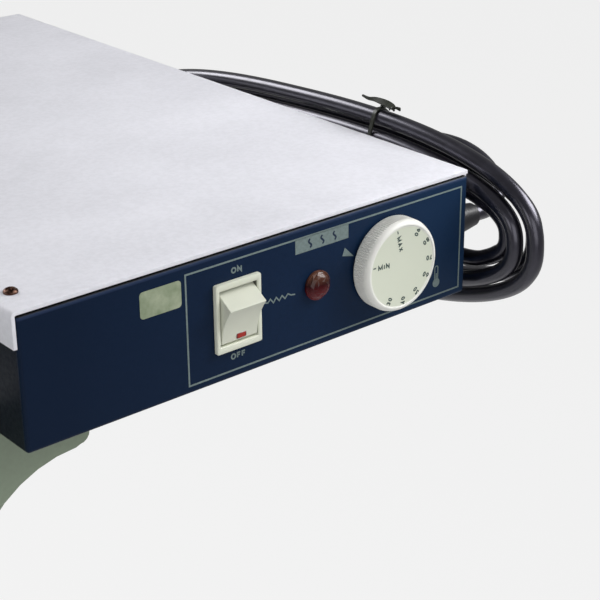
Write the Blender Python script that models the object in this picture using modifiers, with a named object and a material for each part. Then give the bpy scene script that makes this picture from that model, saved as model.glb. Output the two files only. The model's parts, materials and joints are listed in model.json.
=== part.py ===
"""Vacuum ironing table: a folding scissor stand, a heated suction board and, at its right end, the control box
with its iron rest. Metres, +Z up. The origin is on the floor under the middle of the table."""

import math

import bmesh
import bpy
import numpy as np
from mathutils import Matrix, Vector

# Clearances shared by all pieces
SEAT = 0.0003
OVERRUN = 0.004
RUNNING = 0.0006

# Overall
WORK_HEIGHT = 0.880
BOARD_LENGTH = 1.150
BOARD_WIDTH = 0.380
BOARD_GAP = 0.030

# Board
NOSE_WIDTH = 0.256
NOSE_RADIUS = 0.070
BOARD_CORNER = 0.025
TAPER_LENGTH = 0.420
TUB_DEPTH = 0.048
TUB_SHEET = 0.0015
PLATE_SHEET = 0.002
PAD_THICK = 0.011
COVER_CLOTH = 0.0015
COVER_SKIRT = 0.040
SUCTION_HOLE = 0.004
SUCTION_PITCH = 0.090
SUCTION_MARGIN = 0.045
HEATER_RADIUS = 0.004
HEATER_INSET = 0.060
HEATER_LOOP = 0.075

# Control box and its iron rest
BOX_LENGTH = 0.240
BOX_DEPTH = 0.400
BOX_HEIGHT = 0.0585
BOX_SHEET = 0.0012
BOX_BEND = 0.0014
BOX_RIM = 0.014
REST_SHEET = 0.0016
REST_BEND = 0.0020
REST_FLANGE = 0.0155
REST_GAP = 0.0009
SCREW_HEAD = 0.0030
SCREW_RISE = 0.0017
SCREW_SHANK = 0.0018
SCREW_LENGTH = 0.009
SCREW_INSET_X = 0.0082
SCREW_INSET_Y = 0.0171

# Switch, measured from the box's left end and underside
SWITCH_LEFT = 0.0914
SWITCH_LOW = 0.0141
SWITCH_WIDTH = 0.0239
SWITCH_HEIGHT = 0.0314
BEZEL_THICK = 0.002
SWITCH_WALL_X = 0.0021
SWITCH_WALL_Z = 0.0031
SWITCH_BODY_INSET = 0.0012
SWITCH_BODY_DEPTH = 0.024
ROCKER_RADIUS = 0.0122
ROCKER_PIVOT_DEPTH = 0.0020
ROCKER_SIDE_GAP = 0.0004
ROCKER_RIDGE_ANGLE = 62.0
ROCKER_FLUSH_ANGLE = 19.0
ROCKER_BACK_ANGLE = 20.0
ROCKER_HOLLOW = 0.0030
LENS_WIDTH = 0.0051
LENS_HEIGHT = 0.0024
LENS_THICK = 0.0014
LENS_DROP = 0.0096
LENS_PROUD = 0.0003

# Lamp and thermostat
LAMP_X = 0.1475
LAMP_Z = 0.0300
LAMP_RADIUS = 0.0068
LAMP_FLANGE = 0.0012
LAMP_DOME = 0.0040
LAMP_STEM = 0.0050
LAMP_BODY_LENGTH = 0.022
DIAL_X = 0.1894
DIAL_Z = 0.0300
DIAL_RADIUS = 0.0217
DIAL_STANDOFF = 0.001
DIAL_THICK = 0.0095
DIAL_CHAMFER = 0.0013
DIAL_DISH = 0.0006
SPINDLE_RADIUS = 0.003
SPINDLE_LENGTH = 0.020
THERMOSTAT_WIDTH = 0.036
THERMOSTAT_DEPTH = 0.026
CAPILLARY_RADIUS = 0.0013
BULB_RADIUS = 0.003
BULB_LENGTH = 0.090
CONDUIT_RADIUS = 0.007
CONDUIT_WALL = 0.0012
CONDUIT_Z = 0.013
CONDUIT_Y = 0.120

# Cheeks that carry the box, the board and the leg pivot
CHEEK_INSET = 0.025
CHEEK_SHEET = 0.002
CHEEK_CENTRE = 0.088
CHEEK_HALF = 0.131
CHEEK_ARM = 0.0193
CHEEK_ARM_CORNER = 0.005
CHEEK_ARM_TAPER = 0.0008
COVE_RADIUS = 0.055
CHEEK_DROP = 0.100
CHEEK_CORNER = 0.030
CHEEK_FLANGE = 0.022
CHEEK_BOLT_RADIUS = 0.004
CHEEK_BOLT_HEAD = 0.0075
CHEEK_BOLT_RISE = 0.005
CHEEK_BOLT_LENGTH = 0.014
PIVOT_DROP = 0.038

# Scissor legs
LEG_ANGLE = 46.0
FOLDED_ANGLE = 5.0
CROSS_SHARE = 0.4725
LEG_RADIUS = 0.0125
LEG_WALL = 0.0015
LEG_END = 0.018
CHEEK_GAP = 0.0035
SCISSOR_GAP = 0.021
FOOT_RISE = 0.018
BAR_RADIUS = 0.014
BAR_WALL = 0.0018
BAR_REACH = 0.205
CAP_LENGTH = 0.034
CAP_BOTTOM = 0.018
CAP_BEVEL = 0.004
BRACE_RADIUS = 0.008
BRACE_RISE = 0.120
PIN_RADIUS = 0.005
PIN_CLEAR = 0.0005
PIN_HEAD_RADIUS = 0.010
PIN_HEAD = 0.005
COLLAR_RADIUS = 0.009

# Rails under the board, and the sliders that run in them
RAIL_GAP = 0.0035
RAIL_DEPTH = 0.018
RAIL_HEIGHT = 0.026
RAIL_WALL = 0.0018
RAIL_SPARE = 0.020
SLIDER_RADIUS = 0.0102
SLIDER_LENGTH = 0.012

# Knob that clamps the leg pivot
KNOB_RADIUS = 0.023
KNOB_THICK = 0.018
KNOB_FLUTE = 0.007
KNOB_FLUTES = 5
KNOB_BEVEL = 0.002

# Suction fan under the board
FAN_X = 0.285
SCROLL_SMALL = 0.070
SCROLL_LARGE = 0.088
SCROLL_HEIGHT = 0.046
SCROLL_WALL = 0.002
SCROLL_NECK = 0.062
SCROLL_START = 205.0
SCROLL_SWEEP = 245.0
OUTLET_LENGTH = 0.125
OUTLET_WIDTH = 0.060
GASKET_THICK = 0.004
GASKET_INNER = 0.046
GASKET_OUTER = 0.056
IMPELLER_RADIUS = 0.058
IMPELLER_HEIGHT = 0.026
IMPELLER_HUB = 0.014
IMPELLER_DISC = 0.0025
IMPELLER_RING = 0.005
BLADE_THICK = 0.002
BLADE_COUNT = 12
BLADE_TWIST = 35.0
SHAFT_RADIUS = 0.004
MOTOR_RADIUS = 0.039
MOTOR_HEIGHT = 0.055
MOTOR_SHOULDER = 0.006
MOTOR_BOSS = 0.018
GRILLE_THICK = 0.003
GRILLE_SLOTS = 5
GRILLE_SLOT_WIDTH = 0.005
GRILLE_MARGIN = 0.007
MOTOR_LEAD_RADIUS = 0.003
MOTOR_LEAD_ENTRY = 0.030
MOTOR_LEAD_BEND = 0.030

# Foot pedal
PEDAL_LENGTH = 0.090
PEDAL_WIDTH = 0.070
PEDAL_THICK = 0.005
PEDAL_BASE_THICK = 0.010
PEDAL_CLEAR = 0.016
PEDAL_FLOOR = 0.003
PEDAL_REAR_Y = -0.072
PEDAL_HINGE_RADIUS = 0.005
PEDAL_EAR = 0.008

# Mains cord, its gland, the hook that holds its coil, and the plug
CORD_RADIUS = 0.0041
GLAND_Y = 0.026
GLAND_Z = 0.024
GLAND_NUT_RADIUS = 0.0105
GLAND_NUT = 0.010
GLAND_REACH = 0.031
GLAND_MOUTH = 0.0058
GLAND_SHANK = 0.008
GLAND_INSIDE = 0.010
HANGER_REACH = 0.032
HANGER_WIDTH = 0.050
HANGER_SHEET = 0.002
HANGER_ROOT = 0.0135
HANGER_LIP = 0.015
COIL_Y = 0.132
COIL_Z = 0.0200
COIL_HALF_LENGTH = 0.165
COIL_HALF_HEIGHT = 0.045
COIL_POWER = 2.5
COIL_TILT = -3.4
COIL_POINTS = 36
COIL_TURNS = 4
COIL_SLOT_SHARES = ((2.50, 1.0), (1.46, 0.0), (1.02, 1.16), (1.72, 2.36))
COIL_START_ANGLE = -0.95
COIL_END_ANGLE = -2.52
COIL_RISE = ((0.2, -0.05), (0.4, 0.34), (0.6, 0.75), (0.8, 0.985), (1.0, 1.0))
COIL_SHIFT_ANGLES = ((5.76, 6.22), (5.30, 5.76), (4.84, 5.30))
CORD_ROUTE = (
    (0.0313, 0.0260, 0.0240),
    (0.0440, 0.0264, 0.0243),
    (0.0550, 0.0315, 0.0290),
    (0.0610, 0.0460, 0.0380),
    (0.0600, 0.0660, 0.0435),
    (0.0550, 0.0900, 0.0420),
    (0.0480, 0.1180, 0.0300),
    (0.0410, 0.1450, 0.0160),
    (0.0350, 0.1700, 0.0020),
    (0.0300, 0.1950, -0.0100),
)
TIE_WIDTH = 0.0035
TIE_THICK = 0.0014
TIE_Y = 0.078
TIE_HEAD = 0.005
TIE_TAIL = 0.014
PLUG_OUT = 0.0185
PLUG_RADIUS = 0.017
PLUG_LENGTH = 0.036
PLUG_NECK = 0.022
PLUG_PIN_RADIUS = 0.0024
PLUG_PIN_LENGTH = 0.019
PLUG_PIN_PITCH = 0.019

# Places worked out from the sizes
TOTAL_LENGTH = BOARD_LENGTH + BOARD_GAP + BOX_LENGTH + HANGER_REACH
BOX_RIGHT = TOTAL_LENGTH / 2 - HANGER_REACH
BOX_LEFT = BOX_RIGHT - BOX_LENGTH
BOARD_RIGHT = BOX_LEFT - BOARD_GAP
NOSE_X = BOARD_RIGHT - BOARD_LENGTH
FRONT = -BOX_DEPTH / 2
LAYERS = PLATE_SHEET + PAD_THICK + COVER_CLOTH + 3 * SEAT
BASE = WORK_HEIGHT - LAYERS - TUB_DEPTH
PLATE_Z = BASE + TUB_DEPTH + SEAT
PAD_Z = PLATE_Z + PLATE_SHEET + SEAT
TUB_INSET = COVER_CLOTH + SEAT
PIVOT_X = BOX_LEFT - CHEEK_CENTRE
PIVOT_Z = BASE - PIVOT_DROP
LEG_LENGTH = (PIVOT_Z - FOOT_RISE) / math.sin(math.radians(LEG_ANGLE))
UPPER = CROSS_SHARE * LEG_LENGTH
LOWER = LEG_LENGTH - UPPER
CHEEK_Y = -FRONT - CHEEK_INSET
WIDE_Y = CHEEK_Y - CHEEK_SHEET / 2 - CHEEK_GAP - LEG_RADIUS
NARROW_Y = WIDE_Y - 2 * LEG_RADIUS - SCISSOR_GAP
RAIL_INNER = NARROW_Y - LEG_RADIUS - RAIL_GAP - RAIL_DEPTH


def leg_points(angle):
    """Cross, wide foot, slider and narrow foot at a leg angle in degrees."""
    run, drop = math.cos(math.radians(angle)), math.sin(math.radians(angle))
    cross = Vector((PIVOT_X - UPPER * run, 0, PIVOT_Z - UPPER * drop))
    wide_foot = Vector((PIVOT_X - LEG_LENGTH * run, 0, PIVOT_Z - LEG_LENGTH * drop))
    slider = Vector((PIVOT_X - 2 * UPPER * run, 0, PIVOT_Z))
    narrow_foot = cross + Vector((LOWER * run, 0, -LOWER * drop))
    return cross, wide_foot, slider, narrow_foot


CROSS, WIDE_FOOT, SLIDER, NARROW_FOOT = leg_points(LEG_ANGLE)
FOLDED_SLIDER = leg_points(FOLDED_ANGLE)[2]


# Scene and materials
for old in list(bpy.data.objects):
    bpy.data.objects.remove(old, do_unlink=True)


def collection(name, shown):
    made = bpy.data.collections.new(name)
    bpy.context.scene.collection.children.link(made)
    made.hide_render = not shown
    return made


PARTS = collection("vacuum_ironing_table", True)
CUTTERS = collection("cutters", False)


def material(name, color, roughness, metallic=0.0):
    made = bpy.data.materials.new(name)
    made.use_nodes = True
    shader = made.node_tree.nodes["Principled BSDF"]
    shader.inputs["Base Color"].default_value = (*color, 1.0)
    shader.inputs["Roughness"].default_value = roughness
    shader.inputs["Metallic"].default_value = metallic
    return made


NAVY = material("navy_enamel", (0.012, 0.030, 0.085), 0.45)
WHITE_COAT = material("white_powder_coat", (0.80, 0.80, 0.84), 0.5)
GREY_GREEN = material("grey_green_enamel", (0.30, 0.36, 0.28), 0.5)
CREAM = material("cream_plastic", (0.80, 0.82, 0.70), 0.35)
RED_LENS = material("red_lens", (0.22, 0.008, 0.012), 0.12)
BLACK = material("black_plastic", (0.02, 0.02, 0.024), 0.4)
CORD_BLACK = material("black_cord", (0.018, 0.018, 0.024), 0.3)
STEEL = material("zinc_steel", (0.55, 0.56, 0.57), 0.35, 1.0)
BROWN_STEEL = material("browned_steel", (0.06, 0.04, 0.035), 0.3, 1.0)
ALUMINIUM = material("aluminium", (0.75, 0.76, 0.77), 0.35, 1.0)
CLOTH = material("board_cloth", (0.62, 0.63, 0.60), 0.9)
FELT = material("board_felt", (0.70, 0.66, 0.55), 0.95)
RUBBER = material("grey_rubber", (0.09, 0.09, 0.095), 0.8)
COPPER = material("copper", (0.75, 0.36, 0.20), 0.35, 1.0)


# Shape helpers
def place(obj, finish=None, smooth=False):
    """Puts an object among the parts, or among the cutters when it has no finish."""
    for old in obj.users_collection:
        old.objects.unlink(obj)
    if finish is None:
        CUTTERS.objects.link(obj)
        obj.hide_render = True
        obj.display_type = "WIRE"
    else:
        PARTS.objects.link(obj)
        obj.data.materials.clear()
        obj.data.materials.append(finish)
    if smooth and obj.type == "MESH":
        obj.data.shade_smooth()
        obj.data.set_sharp_from_angle(angle=math.radians(35))
    return obj


def mesh_object(name, mesh_maker, finish, smooth=False):
    shape = bmesh.new()
    mesh_maker(shape)
    mesh = bpy.data.meshes.new(name)
    shape.to_mesh(mesh)
    shape.free()
    obj = bpy.data.objects.new(name, mesh)
    bpy.context.scene.collection.objects.link(obj)
    return place(obj, finish, smooth)


def block(name, low, high, finish=None, bevel=0.0, segments=2):
    """A box between two corners, with rounded edges."""
    low, high = Vector(low), Vector(high)

    def make(shape):
        bmesh.ops.create_cube(shape, size=1.0)
        bmesh.ops.scale(shape, vec=high - low, verts=shape.verts)

    obj = mesh_object(name, make, finish)
    obj.location = (low + high) / 2
    if bevel:
        rounding = obj.modifiers.new("rounding", "BEVEL")
        rounding.width = bevel
        rounding.segments = segments
        rounding.limit_method = "ANGLE"
    return obj


def rod(name, start, end, radius, finish=None, sides=24):
    """A round bar from one point to another."""
    start, end = Vector(start), Vector(end)

    def make(shape):
        bmesh.ops.create_cone(
            shape, cap_ends=True, segments=sides, radius1=radius, radius2=radius, depth=(end - start).length
        )

    obj = mesh_object(name, make, finish, smooth=True)
    obj.location = (start + end) / 2
    obj.rotation_mode = "QUATERNION"
    obj.rotation_quaternion = (end - start).to_track_quat("Z", "Y")
    return obj


def turned(name, profile, centre, direction, finish=None, steps=32, closed=False):
    """A profile of (radius, height) points, top to bottom down its outer side, turned about its own Z."""

    def make(shape):
        made = [shape.verts.new((radius, 0, height)) for radius, height in profile]
        for first, second in zip(made, made[1:] + (made[:1] if closed else [])):
            shape.edges.new((first, second))

    obj = mesh_object(name, make, finish)
    turn = obj.modifiers.new("turn", "SCREW")
    turn.steps = turn.render_steps = steps
    turn.use_merge_vertices = True
    turn.merge_threshold = 0.00001
    turn.use_smooth_shade = False
    obj.location = centre
    obj.rotation_mode = "QUATERNION"
    obj.rotation_quaternion = Vector(direction).to_track_quat("Z", "Y")
    return obj


def arc(centre, radius, start, end, count):
    """Points on an arc, its angles in degrees."""
    angles = np.radians(np.linspace(start, end, count))
    return [(centre[0] + radius * math.cos(a), centre[1] + radius * math.sin(a)) for a in angles]


def extruded(name, outlines, thickness, matrix, finish=None):
    """Flat outlines, the first outside and the others holes, as a plate centred on the matrix's XY plane."""
    curve = bpy.data.curves.new(name, "CURVE")
    curve.dimensions = "2D"
    curve.fill_mode = "BOTH"
    curve.extrude = thickness / 2
    for outline in outlines:
        spline = curve.splines.new("POLY")
        spline.points.add(len(outline) - 1)
        for point, (x, y) in zip(spline.points, outline):
            point.co = (x, y, 0, 1)
        spline.use_cyclic_u = True
    obj = bpy.data.objects.new(name, curve)
    bpy.context.scene.collection.objects.link(obj)
    obj.matrix_world = matrix
    return meshed(place(obj, finish))


def meshed(obj):
    """The mesh object that takes a curve's place, with its caps welded."""
    bpy.context.view_layer.update()
    graph = bpy.context.evaluated_depsgraph_get()
    mesh = bpy.data.meshes.new_from_object(obj.evaluated_get(graph))
    shape = bmesh.new()
    shape.from_mesh(mesh)
    bmesh.ops.remove_doubles(shape, verts=shape.verts, dist=0.000005)
    bmesh.ops.recalc_face_normals(shape, faces=shape.faces)
    shape.to_mesh(mesh)
    shape.free()
    name, finish, holder, matrix = obj.name, obj.data.materials[:], obj.users_collection[0], obj.matrix_world.copy()
    bpy.data.objects.remove(obj, do_unlink=True)
    made = bpy.data.objects.new(name, mesh)
    holder.objects.link(made)
    made.matrix_world = matrix
    if not finish:
        made.hide_render = True
        made.display_type = "WIRE"
    return made


def wire(name, points, radius, finish, resolution=2):
    """A tube along points, as a curve with filled caps."""
    curve = bpy.data.curves.new(name, "CURVE")
    curve.dimensions = "3D"
    curve.bevel_depth = radius
    curve.bevel_resolution = resolution
    curve.use_fill_caps = True
    spline = curve.splines.new("POLY")
    spline.points.add(len(points) - 1)
    for point, place_at in zip(spline.points, points):
        point.co = (*place_at, 1)
    obj = bpy.data.objects.new(name, curve)
    bpy.context.scene.collection.objects.link(obj)
    return place(obj, finish)


def boolean(obj, operation, *others):
    for other in others:
        change = obj.modifiers.new(f"{operation.lower()}_{other.name}", "BOOLEAN")
        change.operation = operation
        change.object = other
    return obj


def cut(obj, *cutters):
    return boolean(obj, "DIFFERENCE", *cutters)


def join(obj, *pieces):
    return boolean(obj, "UNION", *pieces)


def plane_xz(y):
    """The frame whose X and Y are the world's X and Z, at a depth y."""
    return Matrix.Translation((0, y, 0)) @ Matrix.Rotation(math.radians(90), 4, "X")


def plane_xy(z):
    return Matrix.Translation((0, 0, z))


def sheet(obj, thickness):
    """Gives an open surface its wall, inwards."""
    wall = obj.modifiers.new("wall", "SOLIDIFY")
    wall.thickness = thickness
    wall.offset = -1
    wall.use_even_offset = True
    return obj


def smooth_path(knots, count):
    """Points along a Catmull-Rom curve through the knots, evenly spaced."""
    knots = np.array(knots, float)
    padded = np.vstack([2 * knots[0] - knots[1], knots, 2 * knots[-1] - knots[-2]])
    pieces = []
    for a, b, c, d in zip(padded, padded[1:], padded[2:], padded[3:]):
        t = np.linspace(0, 1, 24, endpoint=False)[:, None]
        pieces.append(0.5 * (2 * b + (c - a) * t + (2 * a - 5 * b + 4 * c - d) * t**2 + (3 * b - a - 3 * c + d) * t**3))
    fine = np.vstack([*pieces, knots[-1:]])
    run = np.concatenate([[0], np.cumsum(np.linalg.norm(np.diff(fine, axis=0), axis=1))])
    at = np.linspace(0, run[-1], count)
    return np.stack([np.interp(at, run, fine[:, axis]) for axis in range(3)], axis=1)


# Board
def board_outline(inset):
    """The board's outline from above, drawn in by an inset: a blunt round nose, a taper and a square right end."""
    half, nose = BOARD_WIDTH / 2, NOSE_WIDTH / 2
    radius, corner = NOSE_RADIUS - inset, BOARD_CORNER - inset
    nose_arc = arc((NOSE_X + NOSE_RADIUS, nose - NOSE_RADIUS), radius, 180, 90, 9)
    taper = []
    for share in np.linspace(0, 1, 9)[1:]:
        x = NOSE_X + NOSE_RADIUS + TAPER_LENGTH * share
        taper.append((x, nose + (half - nose) * share * share * (3 - 2 * share) - inset))
    corner_arc = arc((BOARD_RIGHT - BOARD_CORNER, half - BOARD_CORNER), corner, 90, 0, 5)
    upper = nose_arc + taper + corner_arc
    return upper + [(x, -y) for x, y in reversed(upper)]


def board_half_width(x):
    """Half the board's width at a place along it."""
    share = min(max((x - NOSE_X - NOSE_RADIUS) / TAPER_LENGTH, 0), 1)
    return (NOSE_WIDTH + (BOARD_WIDTH - NOSE_WIDTH) * share * share * (3 - 2 * share)) / 2


def open_pan(name, outline, low, high, wall, finish, open_top):
    """A sheet pan with the outline's walls and one flat side, open at the top or at the bottom."""
    middle = (low + high) / 2
    pan = extruded(name, [outline], high - low, plane_xy(middle), finish)
    shape = bmesh.new()
    shape.from_mesh(pan.data)
    side = 1 if open_top else -1
    gone = [face for face in shape.faces if face.normal.z * side > 0.9]
    bmesh.ops.delete(shape, geom=gone, context="FACES")
    shape.to_mesh(pan.data)
    shape.free()
    return sheet(pan, wall)


def make_board():
    tub = open_pan("board_tub", board_outline(TUB_INSET), BASE, BASE + TUB_DEPTH, TUB_SHEET, GREY_GREEN, True)
    fan = (FAN_CENTRE_X, 0)
    hole = rod("tub_fan_hole", (*fan, BASE - OVERRUN), (*fan, BASE + OVERRUN), GASKET_INNER)
    duct = rod(
        "tub_conduit_hole",
        (BOARD_RIGHT - OVERRUN - TUB_INSET, CONDUIT_Y, BASE + CONDUIT_Z),
        (BOARD_RIGHT + OVERRUN, CONDUIT_Y, BASE + CONDUIT_Z),
        CONDUIT_RADIUS + SEAT,
    )
    cut(tub, hole, duct)

    holes = []
    inner = TUB_INSET + SUCTION_MARGIN
    columns = int((BOARD_LENGTH - 2 * SUCTION_MARGIN) / SUCTION_PITCH)
    for column in range(columns):
        x = BOARD_RIGHT - SUCTION_MARGIN - (column + 1) * SUCTION_PITCH
        rows = int(2 * (board_half_width(x) - inner) / SUCTION_PITCH) + 1
        for row in range(rows):
            y = (row - (rows - 1) / 2) * SUCTION_PITCH
            holes.append(arc((x, y), SUCTION_HOLE, 0, 300, 6))
    extruded(
        "suction_plate", [board_outline(TUB_INSET), *holes], PLATE_SHEET, plane_xy(PLATE_Z + PLATE_SHEET / 2), ALUMINIUM
    )

    low = PLATE_Z - SEAT - HEATER_RADIUS
    first = BOARD_RIGHT - TUB_INSET - TUB_SHEET - HEATER_LOOP
    last = NOSE_X + HEATER_LOOP + HEATER_INSET
    reach = NOSE_WIDTH / 2 - HEATER_INSET
    knots = [(first, reach)]
    knots += arc((last, 0), reach, 90, 270, 13)
    knots += [(first, -reach)]
    wire("plate_heater", [(x, y, low) for x, y in knots], HEATER_RADIUS, STEEL)

    extruded("board_pad", [board_outline(TUB_INSET)], PAD_THICK, plane_xy(PAD_Z + PAD_THICK / 2), FELT)
    top = PAD_Z + PAD_THICK + SEAT + COVER_CLOTH
    open_pan("board_cover", board_outline(0), top - COVER_SKIRT, top, COVER_CLOTH, CLOTH, False)


def make_capillary():
    """The thermostat's bulb under the plate and its fine tube through the conduit into the control box."""
    bulb_z = PLATE_Z - SEAT - BULB_RADIUS
    bulb_end = BOARD_RIGHT - TUB_INSET - TUB_SHEET - HEATER_LOOP
    bulb_start = bulb_end - BULB_LENGTH
    bulb = rod(
        "capillary_tube", (bulb_start, CONDUIT_Y, bulb_z), (bulb_end, CONDUIT_Y, bulb_z), BULB_RADIUS, COPPER, 12
    )
    body_back = FRONT + BOX_SHEET + SEAT + THERMOSTAT_DEPTH
    x, z = BOX_LEFT + DIAL_X, BASE + DIAL_Z
    knots = [
        (bulb_end - CONDUIT_RADIUS, CONDUIT_Y, bulb_z),
        (bulb_end + CONDUIT_RADIUS, CONDUIT_Y, bulb_z),
        (BOARD_RIGHT - TUB_INSET - CONDUIT_RADIUS, CONDUIT_Y, BASE + CONDUIT_Z),
        (BOX_LEFT + CONDUIT_RADIUS, CONDUIT_Y, BASE + CONDUIT_Z),
        (BOX_LEFT + DIAL_X / 2, CONDUIT_Y - HANGER_REACH, BASE + CONDUIT_Z),
        (x, body_back + HANGER_REACH * 2, z),
        (x, body_back + HANGER_REACH, z),
        (x, body_back + SEAT, z),
    ]
    tube = meshed(wire("capillary_bore_line", list(smooth_path(knots, 26)), CAPILLARY_RADIUS, COPPER, 1))
    place(tube)
    join(bulb, tube)


# Cheeks, rails and their bolts
def cheek_outline():
    """The T of a cheek in X and Z: two tapered arms with round ends, coves of one radius, and a round-cornered foot."""
    shoulder = CHEEK_HALF - CHEEK_ARM_CORNER - CHEEK_SHEET
    column = shoulder - COVE_RADIUS
    right = [(PIVOT_X + CHEEK_HALF, BASE - SEAT - CHEEK_SHEET / 2)]
    tip = (PIVOT_X + CHEEK_HALF - CHEEK_ARM_CORNER, BASE - CHEEK_ARM + CHEEK_ARM_CORNER)
    right += arc(tip, CHEEK_ARM_CORNER, 0, -90, 5)
    cove = (PIVOT_X + shoulder, BASE - CHEEK_ARM - CHEEK_ARM_TAPER - COVE_RADIUS)
    right += arc(cove, COVE_RADIUS, 90, 180, 10)
    foot = (PIVOT_X + column - CHEEK_CORNER, BASE - CHEEK_DROP + CHEEK_CORNER)
    right += arc(foot, CHEEK_CORNER, 0, -90, 6)
    left = [(2 * PIVOT_X - x, z) for x, z in reversed(right)]
    return right + left


def make_cheek(side, sign):
    y = sign * CHEEK_Y
    hole = arc((PIVOT_X, PIVOT_Z), PIN_RADIUS + PIN_CLEAR, 0, 345, 24)
    cheek = extruded(f"cheek_{side}", [cheek_outline(), hole], CHEEK_SHEET, plane_xz(y), GREY_GREEN)
    inner, outer = y - sign * CHEEK_FLANGE, y + sign * (CHEEK_SHEET / 2 - SEAT)
    flange = block(
        f"cheek_flange_{side}",
        (PIVOT_X - CHEEK_HALF + SEAT, min(inner, outer), BASE - SEAT - CHEEK_SHEET),
        (PIVOT_X + CHEEK_HALF - SEAT, max(inner, outer), BASE - SEAT),
    )
    join(cheek, flange)
    bolt_y = y - sign * CHEEK_FLANGE / 2
    for where, x in (("board", PIVOT_X - CHEEK_HALF / 2), ("box", BOX_LEFT + SCREW_INSET_Y)):
        top = BASE - SEAT - CHEEK_SHEET - SEAT
        bolt = rod(
            f"{where}_bolt_{side}", (x, bolt_y, top - CHEEK_BOLT_RISE), (x, bolt_y, top), CHEEK_BOLT_HEAD, STEEL, 6
        )
        shank = rod(
            f"{where}_shank_{side}", (x, bolt_y, top - SCREW_RISE), (x, bolt_y, top + CHEEK_BOLT_LENGTH), CHEEK_BOLT_RADIUS
        )
        join(bolt, shank)
        reach = (x, bolt_y, BASE - OVERRUN - CHEEK_SHEET), (x, bolt_y, BASE + OVERRUN)
        clearance = rod(f"{where}_bolt_hole_{side}", *reach, CHEEK_BOLT_RADIUS + PIN_CLEAR)
        cut(cheek, clearance)
        BOLT_HOLES[where].append(clearance)


def make_rail(side, sign):
    """A channel under the board, open outwards, closed at both ends."""
    start = FOLDED_SLIDER.x - SLIDER_RADIUS - RAIL_SPARE
    end = SLIDER.x + SLIDER_RADIUS + RAIL_SPARE
    low, high = PIVOT_Z - RAIL_HEIGHT / 2, PIVOT_Z + RAIL_HEIGHT / 2
    inner, outer = sign * RAIL_INNER, sign * (RAIL_INNER + RAIL_DEPTH)
    rail = block(f"rail_{side}", (start, min(inner, outer), low), (end, max(inner, outer), high), STEEL)
    slot_inner, slot_outer = inner + sign * RAIL_WALL, outer + sign * OVERRUN
    slot = block(
        f"rail_slot_{side}",
        (start + RAIL_WALL, min(slot_inner, slot_outer), low + RAIL_WALL),
        (end - RAIL_WALL, max(slot_inner, slot_outer), high - RAIL_WALL),
    )
    cut(rail, slot)
    middle = sign * (RAIL_INNER + RAIL_DEPTH / 2)
    lugs = []
    for index, x in enumerate((start + RAIL_SPARE, (start + end) / 2, end - RAIL_SPARE)):
        half = RAIL_DEPTH / 2
        lugs.append(
            block(
                f"rail_lug_{side}_{index}", (x - half, middle - half, high - RAIL_WALL), (x + half, middle + half, BASE - SEAT)
            )
        )
    join(rail, *lugs)


# Suction fan
FAN_CENTRE_X = BOARD_RIGHT - FAN_X
GASKET_TOP = BASE - SEAT
SCROLL_TOP = GASKET_TOP - GASKET_THICK - SEAT
SCROLL_FLOOR = SCROLL_TOP - SCROLL_HEIGHT
OUTLET_X = FAN_CENTRE_X - OUTLET_LENGTH
BOLT_HOLES = {"board": [], "box": []}


def scroll_outline(inset, outlet_x):
    """The volute: a spiral that grows from its tongue, and a straight outlet towards the nose."""
    points = []
    for share in np.linspace(0, 1, 29):
        angle = math.radians(SCROLL_START + SCROLL_SWEEP * share)
        radius = SCROLL_SMALL + (SCROLL_LARGE - SCROLL_SMALL) * share - inset
        points.append((FAN_CENTRE_X + radius * math.cos(angle), radius * math.sin(angle)))
    top = SCROLL_LARGE - inset
    points.append((FAN_CENTRE_X, top))
    points.append((outlet_x, top))
    points.append((outlet_x, SCROLL_LARGE - OUTLET_WIDTH + inset))
    points.append((FAN_CENTRE_X - SCROLL_NECK, SCROLL_LARGE - OUTLET_WIDTH + inset))
    return [point for index, point in enumerate(points) if index != 28]


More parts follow.
